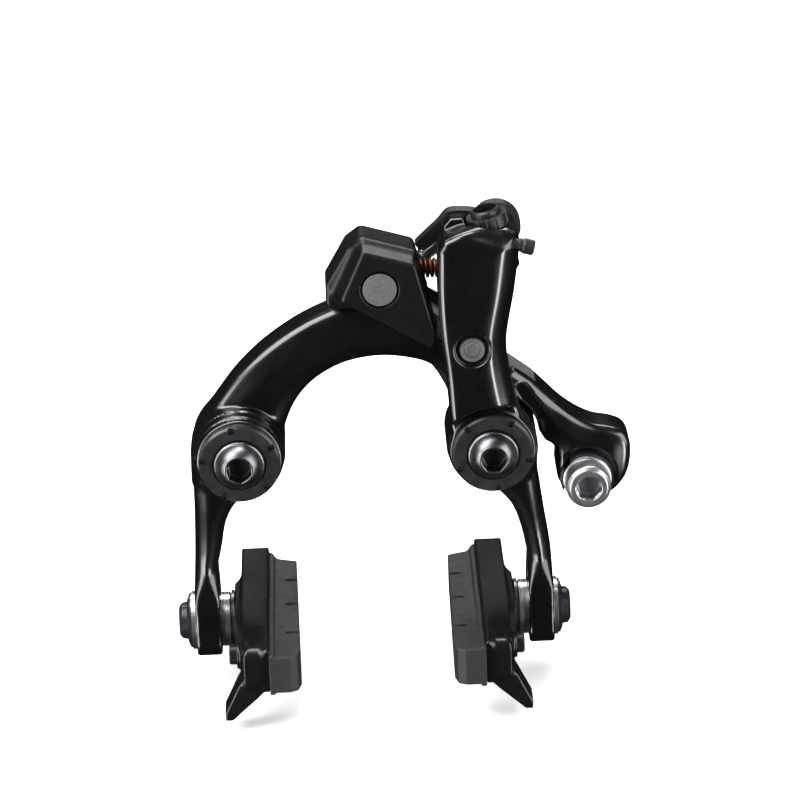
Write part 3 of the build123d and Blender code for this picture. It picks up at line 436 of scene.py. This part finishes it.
MATERIALS = {
    "arm": paint(
        "gloss_black_arm", colors=((0.0007, 0.0007, 0.0008), (0.0012, 0.0012, 0.0014)),
        rough=(0.22, 0.27), coat=0.22, peel=0.006, grain=1500, specular=0.55, depth=0.00001,
        worn=((0.54, 0.62), (0.010, 0.010, 0.011))),
    "cover": paint(
        "satin_black_cover", colors=((0.0010, 0.0010, 0.0012), (0.0020, 0.0020, 0.0023)),
        rough=(0.34, 0.41), peel=0.08, grain=5200, specular=0.24, depth=0.00003),
    "cap": turned(
        "anodised_cap", colors=((0.016, 0.016, 0.0175), (0.028, 0.028, 0.030)),
        rough=(0.26, 0.36), lines=5200, strength=0.10, metallic=0.6),
    "lever": turned(
        "anodised_lever", colors=((0.085, 0.085, 0.09), (0.13, 0.13, 0.137)),
        rough=(0.32, 0.44), axis=0, lines=4200, strength=0.08),
    "pin": paint(
        "grained_pin", colors=((0.035, 0.035, 0.037), (0.075, 0.075, 0.078)),
        rough=(0.45, 0.60), metallic=0.3, peel=0.5, grain=3600, depth=0.00012),
    "rollerpin": turned(
        "turned_pin", colors=((0.20, 0.20, 0.20), (0.28, 0.28, 0.28)),
        rough=(0.40, 0.55), lines=5200, strength=0.15),
    "holder": paint(
        "satin_black_holder", colors=((0.0013, 0.0013, 0.0014), (0.0022, 0.0022, 0.0024)),
        rough=(0.27, 0.33), peel=0, grain=900, specular=0.38),
    "rubber": paint(
        "moulded_rubber", colors=((0.006, 0.006, 0.0066), (0.0115, 0.0115, 0.0125)),
        rough=(0.50, 0.64), peel=0.3, grain=3800, specular=0.3, depth=0.00008),
    "dark": turned(
        "dark_polished_steel", colors=((0.095, 0.095, 0.10), (0.135, 0.135, 0.141)),
        rough=(0.27, 0.36), lines=7000),
    "bright": turned(
        "bright_steel", colors=((0.27, 0.272, 0.285), (0.36, 0.362, 0.375)),
        rough=(0.27, 0.38), lines=7000, metallic=0.95),
    "brightx": turned(
        "bright_steel_across", colors=((0.62, 0.63, 0.66), (0.76, 0.77, 0.79)),
        rough=(0.22, 0.36), axis=0, lines=7000),
    "knob": turned(
        "black_knob", colors=((0.006, 0.006, 0.007), (0.012, 0.012, 0.013)),
        rough=(0.32, 0.44), axis=2, lines=4200, strength=0.10, metallic=0.4),
    "black": paint(
        "black_oxide_steel", colors=((0.010, 0.011, 0.014), (0.020, 0.022, 0.027)),
        rough=(0.26, 0.38), metallic=0.6, peel=0.12, grain=4200, depth=0.00005),
    "copper": paint(
        "copper_spring_wire", colors=((0.085, 0.030, 0.019), (0.14, 0.052, 0.033)),
        rough=(0.34, 0.46), metallic=0.85, peel=0.1, grain=3000, depth=0.00005),
    "bronze": turned(
        "bearing_bronze", colors=((0.42, 0.28, 0.12), (0.52, 0.36, 0.18)),
        rough=(0.35, 0.5), lines=4000),
    "plastic": paint(
        "bearing_plastic", colors=((0.55, 0.54, 0.50), (0.62, 0.61, 0.57)),
        rough=(0.45, 0.6), peel=0.1, grain=2500, depth=0.00005),
    "plate": paint(
        "coated_steel_plate", colors=((0.010, 0.010, 0.011), (0.018, 0.018, 0.019)),
        rough=(0.38, 0.5), metallic=0.3, peel=0.15, grain=4000, depth=0.00006),
    "camsteel": turned(
        "ground_cam_steel", colors=((0.36, 0.36, 0.37), (0.46, 0.46, 0.47)),
        rough=(0.34, 0.5), lines=5000, strength=0.2),
}

SLOT_FINISH = {
    "arm_black": "arm", "cover_black": "cover", "cap_black": "cap", "holder_black": "holder",
    "pad_rubber": "rubber", "steel_dark": "dark", "steel_bright": "bright",
    "steel_black": "black", "spring_copper": "copper", "bushing_bronze": "bronze",
    "washer_white": "plastic", "plate_steel": "plate",
}
# CAD pieces whose finish differs from their slot's
NODE_FINISH = {
    "cam_plate": "camsteel", "cam_roller": "camsteel", "quick_release_lever": "lever",
    "adjuster_knob": "knob", "adjuster_barrel": "knob", "centering_screw": "knob",
    "roller_pin": "rollerpin", "pin_retaining_ring": "rollerpin", "lever_pin": "rollerpin",
}
BROAD = ("spring_housing", "left_shoe_holder", "right_shoe_holder", "quick_release_lever",
         "left_brake_pad", "right_brake_pad")
BROAD_BEVEL, FINE_BEVEL = 0.00035, 0.00014       # metres


def dress(node, piece, slot):
    """Gives a CAD piece its material, smooth shading and bevelled edges."""
    finish = NODE_FINISH.get(node, SLOT_FINISH[slot])
    if finish == "bright" and ("washer" in node or "spacer" in node):
        finish = "brightx"
    mesh = piece.data
    mesh.materials.clear()
    mesh.materials.append(MATERIALS[finish])
    mesh.polygons.foreach_set("use_smooth", np.ones(len(mesh.polygons), bool))
    mesh.set_sharp_from_angle(angle=math.radians(28))
    bevel = piece.modifiers.new("edge", "BEVEL")
    bevel.width = BROAD_BEVEL if node in BROAD else FINE_BEVEL
    bevel.segments = 3
    bevel.harden_normals = True
    bevel.limit_method = "ANGLE"
    bevel.angle_limit = math.radians(34)


slot_of = {part["node"]: part["material_slot"] for part in frame["record"]["subparts"]}
for node, piece in frame["nodes"].items():
    dress(node, piece, slot_of[node])

# ------------------------------------------------------------------ arms: shared shapes
# both legs from the side, (y, z)
foot_outline = polygon(joined(
    smooth([(-17.8, 2.0), (-16.4, -12.0), (-15.1, -22.0), (-15.0, -29.0), (-17.2, -38.0)]),
    arc((-14.2, -45.4), 3.6, 180, 270, 10), arc((-5.8, -45.4), 3.6, 270, 360, 10),
    smooth([(-2.8, -38.0), (-5.0, -29.0), (-4.9, -22.0), (-3.6, -12.0), (-2.5, 2.0)])))


def leg(x, y, z, outline):
    """An (x, z) outline crossed with the side view, with an upright slot through the foot."""
    radius = 0.7 + 2.9 * ease(z, -36.5, -28.5)
    body = meet(outline(x, z), foot_outline(y, z), radius)
    slot = radial(y, np.maximum(np.abs(z + 38.4) - 4.0, 0), (-10, 0)) - 3.1
    return cut(body, slot, 0.3)


def boss(x, y, z, pivot, grow=0.0):
    """Pivot boss with turned steps; grow widens the rearmost one."""
    radius = 9.45 + 0.42 * ease(y, -17.2, -16.85) + (0.25 + grow) * ease(y, -14.6, -14.2)
    return slab((radial(x, z, pivot) - radius) * 0.98, -19.0, -2.2, y, 0.3)


# ------------------------------------------------------------------ rear arm
# outlines in (x, z)
BEAM_OUT = [
    (-38.58, -8.08), (-38.58, -3.74), (-38.28, 0.61), (-37.47, 3.43), (-35.85, 6.36),
    (-31.51, 12.42), (-27.57, 17.37), (-21.41, 23.13), (-13.33, 28.48), (-4.20, 32.60)]
BEAM_TOP = [(12.2, 32.6), (37.5, 13.15)]
EAR_OUT = [
    (37.50, 13.15), (40.80, 9.70), (43.83, 6.57), (47.67, 3.64), (51.21, 1.92),
    (54.94, 1.11), (57.67, -0.20), (58.98, -2.63), (59.09, -6.06), (58.4, -9.6),
    (56.9, -12.4), (54.4, -14.7), (51.2, -15.9), (47.6, -15.7), (44.7, -14.0),
    (42.9, -11.2), (42.4, -8.3), (42.5, -5.66), (42.02, -3.03), (40.00, -1.41)]
ARCH_IN = [
    (18.58, 15.15), (14.85, 17.47), (8.59, 19.19), (2.83, 19.59), (-3.84, 18.38),
    (-9.49, 15.55), (-13.13, 12.32), (-15.55, 8.89), (-17.37, 4.65), (-18.79, 0.0),
    (-21.21, -6.06)]
PIVOT_ARC = 10.72                       # radius of the beam's edge round the right pivot
BEAM_BACK = -2.3                        # y
CAM_FRONT, CAM_BACK = -9.5, -3.3        # y of the cam seat's ends

beam_outline = polygon(joined(
    smooth(BEAM_OUT), BEAM_TOP, smooth(EAR_OUT), arc(RIGHT_PIVOT, PIVOT_ARC, 5, 114),
    smooth(ARCH_IN)))
inner_line = Outline(joined(arc(RIGHT_PIVOT, PIVOT_ARC, 40, 114), smooth(ARCH_IN[:-1])))
outer_line = Outline(joined(smooth(BEAM_OUT), BEAM_TOP, smooth(EAR_OUT[:10])))
seat_outline = polygon([
    (12.2, 27.2), (29.5, 13.2), (33.8, 11.9), (36.9, 9.9), (37.8, 10.5), (38.3, 11.4),
    (38.15, 12.35), (38.6, 15.0), (12.2, 34.4)])
open_outline = polygon([(14.2, 34.5), (14.2, 26.0), (25.0, 17.2), (25.0, 26.5)])
wall_outline = polygon([
    (8.0, 32.0), (8.0, 34.2), (13.5, 34.2), (26.3, 26.4), (30.0, 18.0), (20.0, 22.0)])
left_leg_outline = polygon(joined(
    smooth([(-38.3, 1.0), (-38.6, -6.0), (-38.8, -15.0), (-39.2, -24.0), (-39.8, -33.5)]),
    [(-39.8, -50.0), (LEFT_LEG_FACE, -50.0)],
    smooth([(LEFT_LEG_FACE, -27.8), (-33.1, -23.5), (-31.8, -17.0), (-29.6, -12.6),
            (-26.0, -9.0), (-22.0, -4.0)])))


def roller_place(degrees):
    """The roller pin's centre in the rear arm, with both arms turned by an angle."""
    angle = -math.radians(degrees)
    x, z = ROLLER_PIN
    for centre, _ in (RIGHT_PIVOT, LEFT_PIVOT):
        x, z = (centre + (x - centre) * math.cos(angle) - z * math.sin(angle),
                (x - centre) * math.sin(angle) + z * math.cos(angle))
    return x, z


roller_line = Outline([roller_place(-0.6 + 0.5 * i) for i in range(18)])


def rear_arm(x, y, z):
    edge = beam_outline(x, z)
    inward = ease(outer_line(x, z) - inner_line(x, z), -7.0, 7.0)   # 0 at outer edge, 1 at inner
    front_round = (2.0 + 2.8 * inward * ease(x, 20.0, 12.0)
                   - 0.3 * ease(x, 38.0, 46.0) * (1 - inward))
    front = (-12.35 - 0.35 * ease(x, 40.0, 46.0)
             + 0.9 * (1 - ease(-edge, 0.0, 5.0)) * (1 - inward))
    body = slab(edge, front, BEAM_BACK, y, np.where(y < -7.0, front_round, 1.0))
    body = fuse(body, boss(x, y, z, LEFT_PIVOT, grow=0.1), 1.0)
    body = fuse(body, leg(x, y, z, left_leg_outline), 2.2)
    # upstanding wall behind the cam
    body = fuse(body, slab(wall_outline(x, z), CAM_BACK, -2.2, y, 0.3), 0.4)
    # seat of the cam and the roller's pocket
    body = cut(body, slab(seat_outline(x, z), CAM_FRONT, CAM_BACK, y, 0.02), 0.2)
    body = cut(body, slab(roller_line(x, z) - 3.1, -16.0, CAM_BACK, y, 0.02), 0.3)
    # the cam's front face lies open behind the front arm
    body = cut(body, np.maximum(open_outline(x, z), y - CAM_FRONT), 0.3)
    body = cut(body, radial(x, z, LEFT_PIVOT) - PIVOT_BORE, 0.3)
    # spot face and bolt hole for the clamp
    from_clamp = radial(x, z, CLAMP)
    body = cut(body, np.maximum(from_clamp - 6.7, y + 12.0), 0.3)
    body = cut(body, from_clamp - 3.02, 0.25)
    # shallow oval groove beside the front arm
    lean = math.radians(-58)
    right, up = x - 36.9, z - 8.6
    along = right * math.cos(lean) + up * math.sin(lean)
    across = -right * math.sin(lean) + up * math.cos(lean)
    oval = radial(np.maximum(np.abs(along) - 3.4, 0), across) - 1.5
    body = cut(body, np.maximum(oval, y + 11.3), 0.4)
    # clearance round the front arm's boss
    return cut(body, radial(x, z, RIGHT_PIVOT) - 10.45, 0.3)


build("rear_arm_forging", rear_arm, (-40.6, -19.2, -49.6), (59.6, -2.0, 34.8), 0.38,
      "arm_black", "left_arm", "left_arm")

# ------------------------------------------------------------------ front arm
# outlines in (x, z)
BLADE_LEFT = [
    (19.2, 4.0), (18.69, 9.59), (18.18, 18.58), (17.27, 27.98), (16.87, 37.27),
    (17.07, 47.87)]
BLADE_TOP = [(18.48, 50.10), (22.22, 51.61), (26.77, 52.22), (31.31, 51.71), (34.34, 50.40)]
BLADE_RIGHT = [
    (35.05, 47.87), (33.53, 36.97), (31.92, 28.28), (31.61, 24.44), (32.22, 18.18),
    (33.73, 10.71), (35.96, 4.5)]
ADJUSTER_ORIGIN, ADJUSTER_AXIS = (29.9, -13.2, 45.0), (-0.22, 0, 0.975)        # x y z
# bores on the adjuster's axis: radius, start, end, edge softness
ADJUSTER_BORES = ((5.0, 5.85, 14.0, 0.4), (3.35, -3.5, 9.0, 0.3), (1.1, -20.0, -2.0, 0.2))

blade_outline = polygon(joined(smooth(BLADE_LEFT), smooth(BLADE_TOP), smooth(BLADE_RIGHT)))
right_side = Outline(joined(smooth(BLADE_RIGHT)))
left_side = Outline(joined(smooth(BLADE_LEFT)))
lug_outline = polygon([
    (18.7, 46.0), (18.7, 51.3), (20.1, 52.8), (23.4, 52.9), (24.2, 50.6), (24.2, 46.0)])
right_leg_outline = polygon(joined(
    smooth([(24.5, -6.0), (28.2, -10.6), (31.8, -15.0), (33.9, -20.5),
            (RIGHT_LEG_FACE, -27.8)]),
    [(RIGHT_LEG_FACE, -50.0), (41.1, -50.0)],
    smooth([(41.1, -34.5), (40.8, -27.0), (39.6, -18.2), (38.4, -9.0), (37.2, 0.0)])))


def front_arm(x, y, z):
    edge = blade_outline(x, z)
    to_right = ease(left_side(x, z) - right_side(x, z), -9.0, 9.0)  # 0 at left edge, 1 at right
    crown = (1 - ease(-edge, -0.5, 6.2)) * (0.25 + 1.15 * to_right)
    radius = np.where(y < -17.3, 1.7 + 2.6 * to_right, 0.8)
    body = slab(edge, -22.0 + crown, -12.6, y, radius)
    # the blade steps back round the cap
    from_pivot = radial(x, z, RIGHT_PIVOT)
    body = cut(body, np.maximum(from_pivot - 11.2, y + 18.6), 0.9)
    body = cut(body, from_pivot - 8.0, 0.2)
    body = fuse(body, boss(x, y, z, RIGHT_PIVOT), 0.9)
    body = fuse(body, leg(x, y, z, right_leg_outline), 2.2)
    # lug at the top left, adjuster barrel and square post behind the blade
    body = fuse(body, slab(lug_outline(x, z), -14.5, -10.2, y, 0.5), 0.6)
    along, side, third = local(x, y, z, ADJUSTER_ORIGIN, ADJUSTER_AXIS)
    from_adjuster = radial(side, third)
    body = fuse(body, slab(from_adjuster - 4.4, -4.5, 4.8, along, 0.4), 0.5)
    post = np.maximum(np.abs(x - 24.6) - 2.3, np.abs(z - 40.1) - 2.8)
    body = fuse(body, slab(post, -13.7, -7.7, y, 0.5), 0.8)
    # bores for the pivot, the roller pin, the adjuster and the centring screw
    body = cut(body, from_pivot - PIVOT_BORE, 0.3)
    from_pin = radial(x, z, ROLLER_PIN)
    body = cut(body, from_pin - 1.77, 0.2)
    body = cut(body, np.maximum(from_pin - 3.9, y + 20.9), 0.45)
    for radius, start, end, soft in ADJUSTER_BORES:
        body = cut(body, slab(from_adjuster - radius, start, end, along, 0.02), soft)
    along, side, third = local(x, y, z, SCREW_ORIGIN, SCREW_AXIS)
    return cut(body, slab(radial(side, third) - 1.3, -4.2, 6.0, along, 0.02), 0.2)


build("front_arm_forging", front_arm, (16.6, -22.2, -49.6), (41.4, -2.0, 53.2), 0.34,
      "arm_black", "right_arm", "right_arm")

# ------------------------------------------------------------------ bolts with real threads
THREAD_PITCH, THREAD_DEPTH = 1.0, 0.46
SOCKET = 2.5                            # inradius of the bolts' hexagon sockets


def thread(x, y, z, centre, radius, start, end):
    """External thread along y, its far end chamfered."""
    from_axis = radial(x, z, centre)
    angle = np.arctan2(z - centre[1], x - centre[0])
    phase = (y / THREAD_PITCH - angle / (2 * math.pi)) % 1.0
    groove = THREAD_DEPTH * ease(np.abs(2 * phase - 1.0), 0.12, 0.88)
    body = (from_axis - (radius - groove)) * 0.75
    body = trim(body, (from_axis - (radius - 0.65) - (end - y)) * 0.7, 0.1)
    return trim(body, np.maximum(start - y, y - end), 0.1)


def mounting_bolt(pivot, turn):
    """Field of a domed bolt on a pivot, its socket turned by an angle in radians."""
    def field(x, y, z):
        from_axis = radial(x, z, pivot)
        body = thread(x, y, z, pivot, 2.99, -0.3, 12.0)
        shank = slab(from_axis - 2.6, -21.0, 0.0, y, 0.05)
        body = fuse(body, shank, 0.15)
        flange = slab(from_axis - 5.6, -21.75, -20.4, y, 0.32)
        body = fuse(body, flange, 0.05)
        rise = np.clip((-21.5 - y) / 3.3, 0, 1)
        dome = (from_axis - (3.0 + 2.25 * (1 - rise ** 1.6) ** 0.75)) * 0.72
        dome = trim(dome, np.maximum(-24.6 - y, y + 20.8), 0.3)
        body = fuse(body, dome, 0.12)
        lip = radial(from_axis, y, (3.02, -24.35)) - 0.42
        body = fuse(body, lip, 0.2)
        body = cut(body, np.maximum(from_axis - 2.62, y + 24.1), 0.1)
        socket = hexagon(x - pivot[0], z, SOCKET, turn)
        return cut(body, np.maximum(socket, y + 21.5), 0.15)

    return field


for side, pivot, turn, replaces in (("left", LEFT_PIVOT, 0.14, None),
                                    ("right", RIGHT_PIVOT, 0.44, "mounting_bolts")):
    build(side + "_stay_bolt", mounting_bolt(pivot, turn), (pivot[0] - 5.7, -24.9, -5.7),
          (pivot[0] + 5.7, 12.05, 5.7), 0.2, "steel_dark", "base", replaces)


def clamp_bolt(x, y, z):
    from_axis = radial(x, z, CLAMP)
    # the thread is measured forward from y = -12
    body = thread(x, -y - 12.0, z, CLAMP, 2.95, -2.5, 9.55)
    flange = slab(from_axis - 5.45, -14.75, -14.1, y, 0.2)
    body = fuse(body, flange, 0.05)
    head = trim(from_axis - 5.0, np.maximum(-19.85 - y, y + 14.3), 0.25)
    head = trim(head, (from_axis + (-19.85 - y) * 0.9 - 4.15) * 0.74, 0.15)
    body = fuse(body, head, 0.15)
    body = cut(body, np.maximum(from_axis - 2.85, y + 19.5), 0.1)
    socket = hexagon(x - CLAMP[0], z - CLAMP[1], SOCKET, 0.31)
    return cut(body, np.maximum(socket, y + 16.6), 0.15)


build("cable_bolt", clamp_bolt, (CLAMP[0] - 5.6, -20.0, CLAMP[1] - 5.6),
      (CLAMP[0] + 5.6, -2.3, CLAMP[1] + 5.6), 0.2, "steel_bright", "left_arm",
      "cable_clamp_bolt")

# ------------------------------------------------------------------ spring housing
# outlines in (x, z): the rear block, then the apron at its crease and at its front
rear_block = rounded([
    (-7.47, 32.8), (-7.47, 38.38), (-2.73, 46.56), (0.6, 48.95), (12.22, 45.45),
    (15.6, 32.8)], 1.7)
apron_crease = rounded([
    (-5.75, 36.9), (-0.6, 47.4), (0.9, 48.75), (12.2, 45.4), (16.75, 28.4), (15.2, 25.2)], 0.75)
apron_front = rounded([
    (-4.34, 36.36), (0.75, 47.6), (12.32, 44.14), (16.5, 27.4), (15.2, 24.4)], 0.9)


def housing(x, y, z):
    body = slab(rear_block(x, z), -14.0, -3.4, y, 0.9)
    forward = np.clip((-14.0 - y) / 5.0, 0, 1)
    edge = apron_crease(x, z) * (1 - forward) + apron_front(x, z) * forward
    body = fuse(body, slab(edge, -19.0, -12.3, y, 0.75), 2.0)
    # round hole along x, open to the right
    body = cut(body, np.maximum(radial(y, z, (-9.3, 40.1)) - 2.75, 2.5 - x), 0.35)
    # pin hole and the recess of its head
    from_pin = radial(x, z, HOUSING_PIN)
    body = cut(body, from_pin - 1.52, 0.1)
    body = cut(body, np.maximum(from_pin - 4.15, y + 18.2), 0.25)
    # slanting stepped hole at the back
    along, side, third = local(x, y, z, (10.2, -3.6, 37.05), (0.767, 0, 0.642))
    from_axis = radial(side, third)
    body = cut(body, np.maximum(from_axis - 1.38, -along), 0.1)
    return cut(body, np.maximum(from_axis - 2.35, 4.6 - along), 0.2)


build("spring_block", housing, (-7.6, -19.1, 24.4), (16.9, -3.3, 48.9), 0.26,
      "cover_black", "left_arm", "spring_housing")

# ------------------------------------------------------------------ shoes
# depth is measured from the leg's inner face towards the middle of the caliper
BOLT_Z = -42.4
SHOE_Z = BOLT_Z + 0.9
# (depth, y)
holder_outline = polygon([
    (4.5, 15.2), (10.9, 15.2), (10.9, -40.0), (5.4, -40.0), (4.7, -39.0), (4.5, -31.0)])
back_outline = polygon([
    (5.6, 0.6), (4.5, 0.6), (3.08, -2.6), (3.08, -20.0), (4.5, -31.0), (5.6, -31.0)])
pad_outline = polygon([
    (10.92, 13.8), (13.2, 10.4), (17.3, 8.9), (17.9, -38.2), (17.2, -40.9), (15.4, -41.8),
    (10.92, -41.8)])
# (depth, z)
fin_outline = polygon([
    (10.3, SHOE_Z - 4.4), (8.2, SHOE_Z - 6.6), (2.4, SHOE_Z - 11.9), (0.8, SHOE_Z - 12.0),
    (0.7, SHOE_Z - 10.2), (3.9, SHOE_Z - 3.6), (5.2, SHOE_Z - 2.0), (10.0, SHOE_Z - 2.0)])
channel_outline = polygon([
    (8.4, SHOE_Z - 3.4), (13.4, SHOE_Z - 2.6), (13.4, SHOE_Z + 2.6), (8.4, SHOE_Z + 3.4)])
rail_outline = polygon([
    (8.5, SHOE_Z - 3.3), (11.6, SHOE_Z - 2.82), (11.6, SHOE_Z + 2.82), (8.5, SHOE_Z + 3.3)])
PAD_GROOVES = (-1.5, -14.2, -28.9)      # y


def holder(depth, y, z):
    radius = 0.75 + 1.9 * ease(y, -33.0, -37.5) * ease(depth, 10.6, 8.6)
    edge, side = holder_outline(depth, y), np.abs(z - SHOE_Z) - 5.2
    body = meet(edge, side, radius)
    back = slab(back_outline(depth, y), SHOE_Z - 4.6, SHOE_Z + 4.6, z, 0.5)
    body = fuse(body, back, 0.8)
    stud = np.maximum(radial(y, z, (-28.5, BOLT_Z)) - 3.2, np.maximum(3.6 - depth, depth - 6.0))
    body = fuse(body, stud, 0.5)
    body = fuse(body, slab(fin_outline(depth, z), -39.5, -32.9, y, 0.35), 0.7)
    body = cut(body, np.maximum(channel_outline(depth, z), -34.4 - y), 0.2)
    hole = np.maximum(radial(y, z, (-10.0, BOLT_Z)) - 3.08, np.maximum(2.0 - depth, depth - 8.4))
    body = cut(body, hole, 0.15)
    # parting groove round the front end
    groove = np.maximum(np.abs(depth - 7.7) - 0.16, np.minimum(edge, side) * -1 - 0.3)
    return cut(body, np.maximum(groove, y + 34.5), 0.12)


def pad(depth, y, z):
    half = 4.8 - 0.5 * ease(depth, 11.9, 12.3)
    body = meet(pad_outline(depth, y), np.abs(z - (SHOE_Z - 0.1)) - half, 0.35)
    for groove in PAD_GROOVES:
        width = 0.55 + 0.06 * (depth - 14.6)
        body = cut(body, np.maximum(np.abs(y - groove) - width, 14.6 - depth), 0.25)
    rail = np.maximum(rail_outline(depth, z), np.maximum(-34.3 - y, y - 13.0))
    return fuse(body, rail, 0.1)


# object, CAD piece, field, slot, then low and high (depth, y, z above SHOE_Z)
SHOE_PARTS = (
    ("_holder", "_shoe_holder", holder, "holder_black", (0.6, -40.1, -12.2), (11.0, 15.3, 5.4)),
    ("_pad", "_brake_pad", pad, "pad_rubber", (8.4, -41.9, -5.0), (18.0, 13.9, 4.8)),
)
for side, inward, face in (("left", 1, LEFT_LEG_FACE), ("right", -1, RIGHT_LEG_FACE)):
    for name, replaced, shape, slot, low, high in SHOE_PARTS:
        left, right = sorted((face + inward * low[0], face + inward * high[0]))
        build(side + name, lambda x, y, z: shape((x - face) * inward, y, z),
              (left, low[1], SHOE_Z + low[2]), (right, high[1], SHOE_Z + high[2]), 0.3,
              slot, side + "_shoe", side + replaced)


# ------------------------------------------------------------------ pins and small screws
def spring_pin(x, y, z):
    from_axis = radial(x, z, HOUSING_PIN)
    body = slab(from_axis - 1.45, -18.6, -3.5, y, 0.3)
    body = fuse(body, slab(from_axis - 3.72, -19.1, -18.25, y, 0.28), 0.1)
    # ring groove in the head's face
    return cut(body, radial(from_axis, y, (3.2, -19.2)) - 0.24, 0.1)


build("spring_pin", spring_pin, (0.4, -19.2, 35.0), (8.2, -3.4, 42.8), 0.2,
      "steel_black", "left_arm", "housing_pin", finish="pin")


def centre_screw(x, y, z):
    along, side, third = local(x, y, z, SCREW_ORIGIN, SCREW_AXIS)
    from_axis = radial(side, third)
    body = slab(from_axis - 1.18, -4.1, 2.0, along, 0.15)
    body = fuse(body, slab(from_axis - 1.5, 0.35, 2.0, along, 0.15), 0.2)
    body = fuse(body, slab(from_axis - 1.74, 1.3, 3.85, along, 0.32), 0.15)
    return cut(body, np.maximum(hexagon(side, third, 0.95, 0.2), 2.3 - along), 0.12)


build("centre_screw", centre_screw, (29.9, -19.9, 45.0), (38.6, -16.1, 51.2), 0.16,
      "steel_black", "centering_screw", "centering_screw", finish="knob")

# ------------------------------------------------------------------ studio, in metres
CAMERA_RISE, CAMERA_SWING, CAMERA_ROLL = (math.radians(a) for a in (22.2, -1.0, 2.0))
CAMERA_DISTANCE = 0.8
CAMERA_TARGET = (0, -0.021, 0)
CAMERA_SHIFT = (0.00739274, 0.01317932)      # aim's offset from the target, view right and up
CAMERA_LENS, CAMERA_SENSOR = 163.62, 36      # millimetres

FLOOR_Z, FLOOR_RADIUS, FLOOR_SIDES = -0.0565, 4.0, 64

# name, location, aim, width, height, watts
LIGHTS = (
    ("key_top_left", (-0.62, -0.30, 0.78), (0, 0, 0), 0.62, 0.90, 20.0),
    ("overhead", (-0.05, 0.10, 1.05), (0, 0, 0), 0.55, 0.30, 9.0),
    ("fill_right", (0.80, -0.46, 0.26), (0.01, 0, 0), 0.74, 0.90, 12.5),
    ("strip_left", (-0.84, -0.46, -0.06), (0, 0, 0), 0.42, 0.8, 9.0),
    ("top_back", (0.05, 0.62, 0.72), (0, 0, 0), 0.9, 0.18, 7.0),
    ("card_low_right", (0.70, -0.66, -0.30), (0, 0, 0), 0.20, 0.36, 4.5),
    ("card_low_left", (-0.66, -0.70, -0.30), (0, 0, 0), 0.26, 0.42, 4.6),
)


def add_object(name, data):
    made = bpy.data.objects.new(name, data)
    bpy.context.scene.collection.objects.link(made)
    return made


def add_camera():
    """Looks from slightly left of the front and above, tipped a little."""
    level = math.cos(CAMERA_RISE)
    back = Vector((math.sin(CAMERA_SWING) * level, -math.cos(CAMERA_SWING) * level,
                   math.sin(CAMERA_RISE)))
    flat_right = (-back).cross(Vector((0, 0, 1))).normalized()
    flat_up = flat_right.cross(-back)
    right = flat_right * math.cos(CAMERA_ROLL) - flat_up * math.sin(CAMERA_ROLL)
    up = flat_right * math.sin(CAMERA_ROLL) + flat_up * math.cos(CAMERA_ROLL)
    aim = Vector(CAMERA_TARGET) + right * CAMERA_SHIFT[0] + up * CAMERA_SHIFT[1]
    placing = Matrix((right, up, back)).transposed().to_4x4()
    placing.translation = aim + back * CAMERA_DISTANCE
    camera = bpy.data.cameras.new("camera")
    made = add_object("camera", camera)
    made.matrix_world = placing
    camera.sensor_width = CAMERA_SENSOR
    camera.lens = CAMERA_LENS
    camera.clip_start = 0.01
    bpy.context.scene.camera = made


def floor_material():
    """Pale paper, clear when seen from below."""
    material, tree, shader = new_material("floor_paper")
    set_inputs(tree, shader, {
        "Base Color": mottle(tree, noise(tree, 40.0), ((0.90,) * 3, (0.915,) * 3)),
        "Roughness": 0.9, "Specular IOR Level": 0.0})
    sides = add_node(tree, "MixShader", {
        0: add_node(tree, "NewGeometry").outputs["Backfacing"],
        1: shader.outputs[0],
        2: add_node(tree, "BsdfTransparent").outputs[0]})
    set_inputs(tree, tree.nodes["Material Output"], {"Surface": sides.outputs[0]})
    return material


def add_floor():
    angles = [2 * math.pi * k / FLOOR_SIDES for k in range(FLOOR_SIDES)]
    rim = [(FLOOR_RADIUS * math.cos(a), FLOOR_RADIUS * math.sin(a), FLOOR_Z) for a in angles]
    mesh = bpy.data.meshes.new("floor")
    mesh.from_pydata(rim, [], [list(range(FLOOR_SIDES))])
    mesh.update()
    floor = add_object("floor", mesh)
    mesh.materials.append(floor_material())
    floor.visible_glossy = False
    floor.visible_shadow = False


def add_light(name, location, aim, width, height, power):
    light = bpy.data.lights.new(name, "AREA")
    light.shape = "RECTANGLE"
    light.size = width
    light.size_y = height
    light.energy = power
    made = add_object(name, light)
    made.location = location
    toward = Vector(aim) - Vector(location)
    made.rotation_euler = toward.to_track_quat("-Z", "Y").to_euler()


def add_world():
    """White light all round; reflections see a dim room, a little brighter overhead."""
    world = bpy.data.worlds.new("studio")
    bpy.context.scene.world = world
    world.use_nodes = True
    tree = world.node_tree
    tree.nodes.clear()
    direction = add_node(tree, "TexCoord").outputs["Generated"]
    height = add_node(tree, "SeparateXYZ", {0: direction}).outputs[2]
    reflected = remap(tree, height, 0.008, 0.055, source=(-0.2, 1.0))
    mix = add_node(tree, "MixShader", {
        0: add_node(tree, "LightPath").outputs["Is Glossy Ray"],
        1: add_node(tree, "Background", {0: (1, 1, 1, 1), 1: 0.75}).outputs[0],
        2: add_node(tree, "Background", {1: reflected}).outputs[0]})
    add_node(tree, "OutputWorld", {0: mix.outputs[0]})


add_camera()
add_floor()
add_world()
for light in LIGHTS:
    add_light(*light)
view = bpy.context.scene.view_settings
view.view_transform = "Standard"
view.look = "None"
view.exposure = 0.0
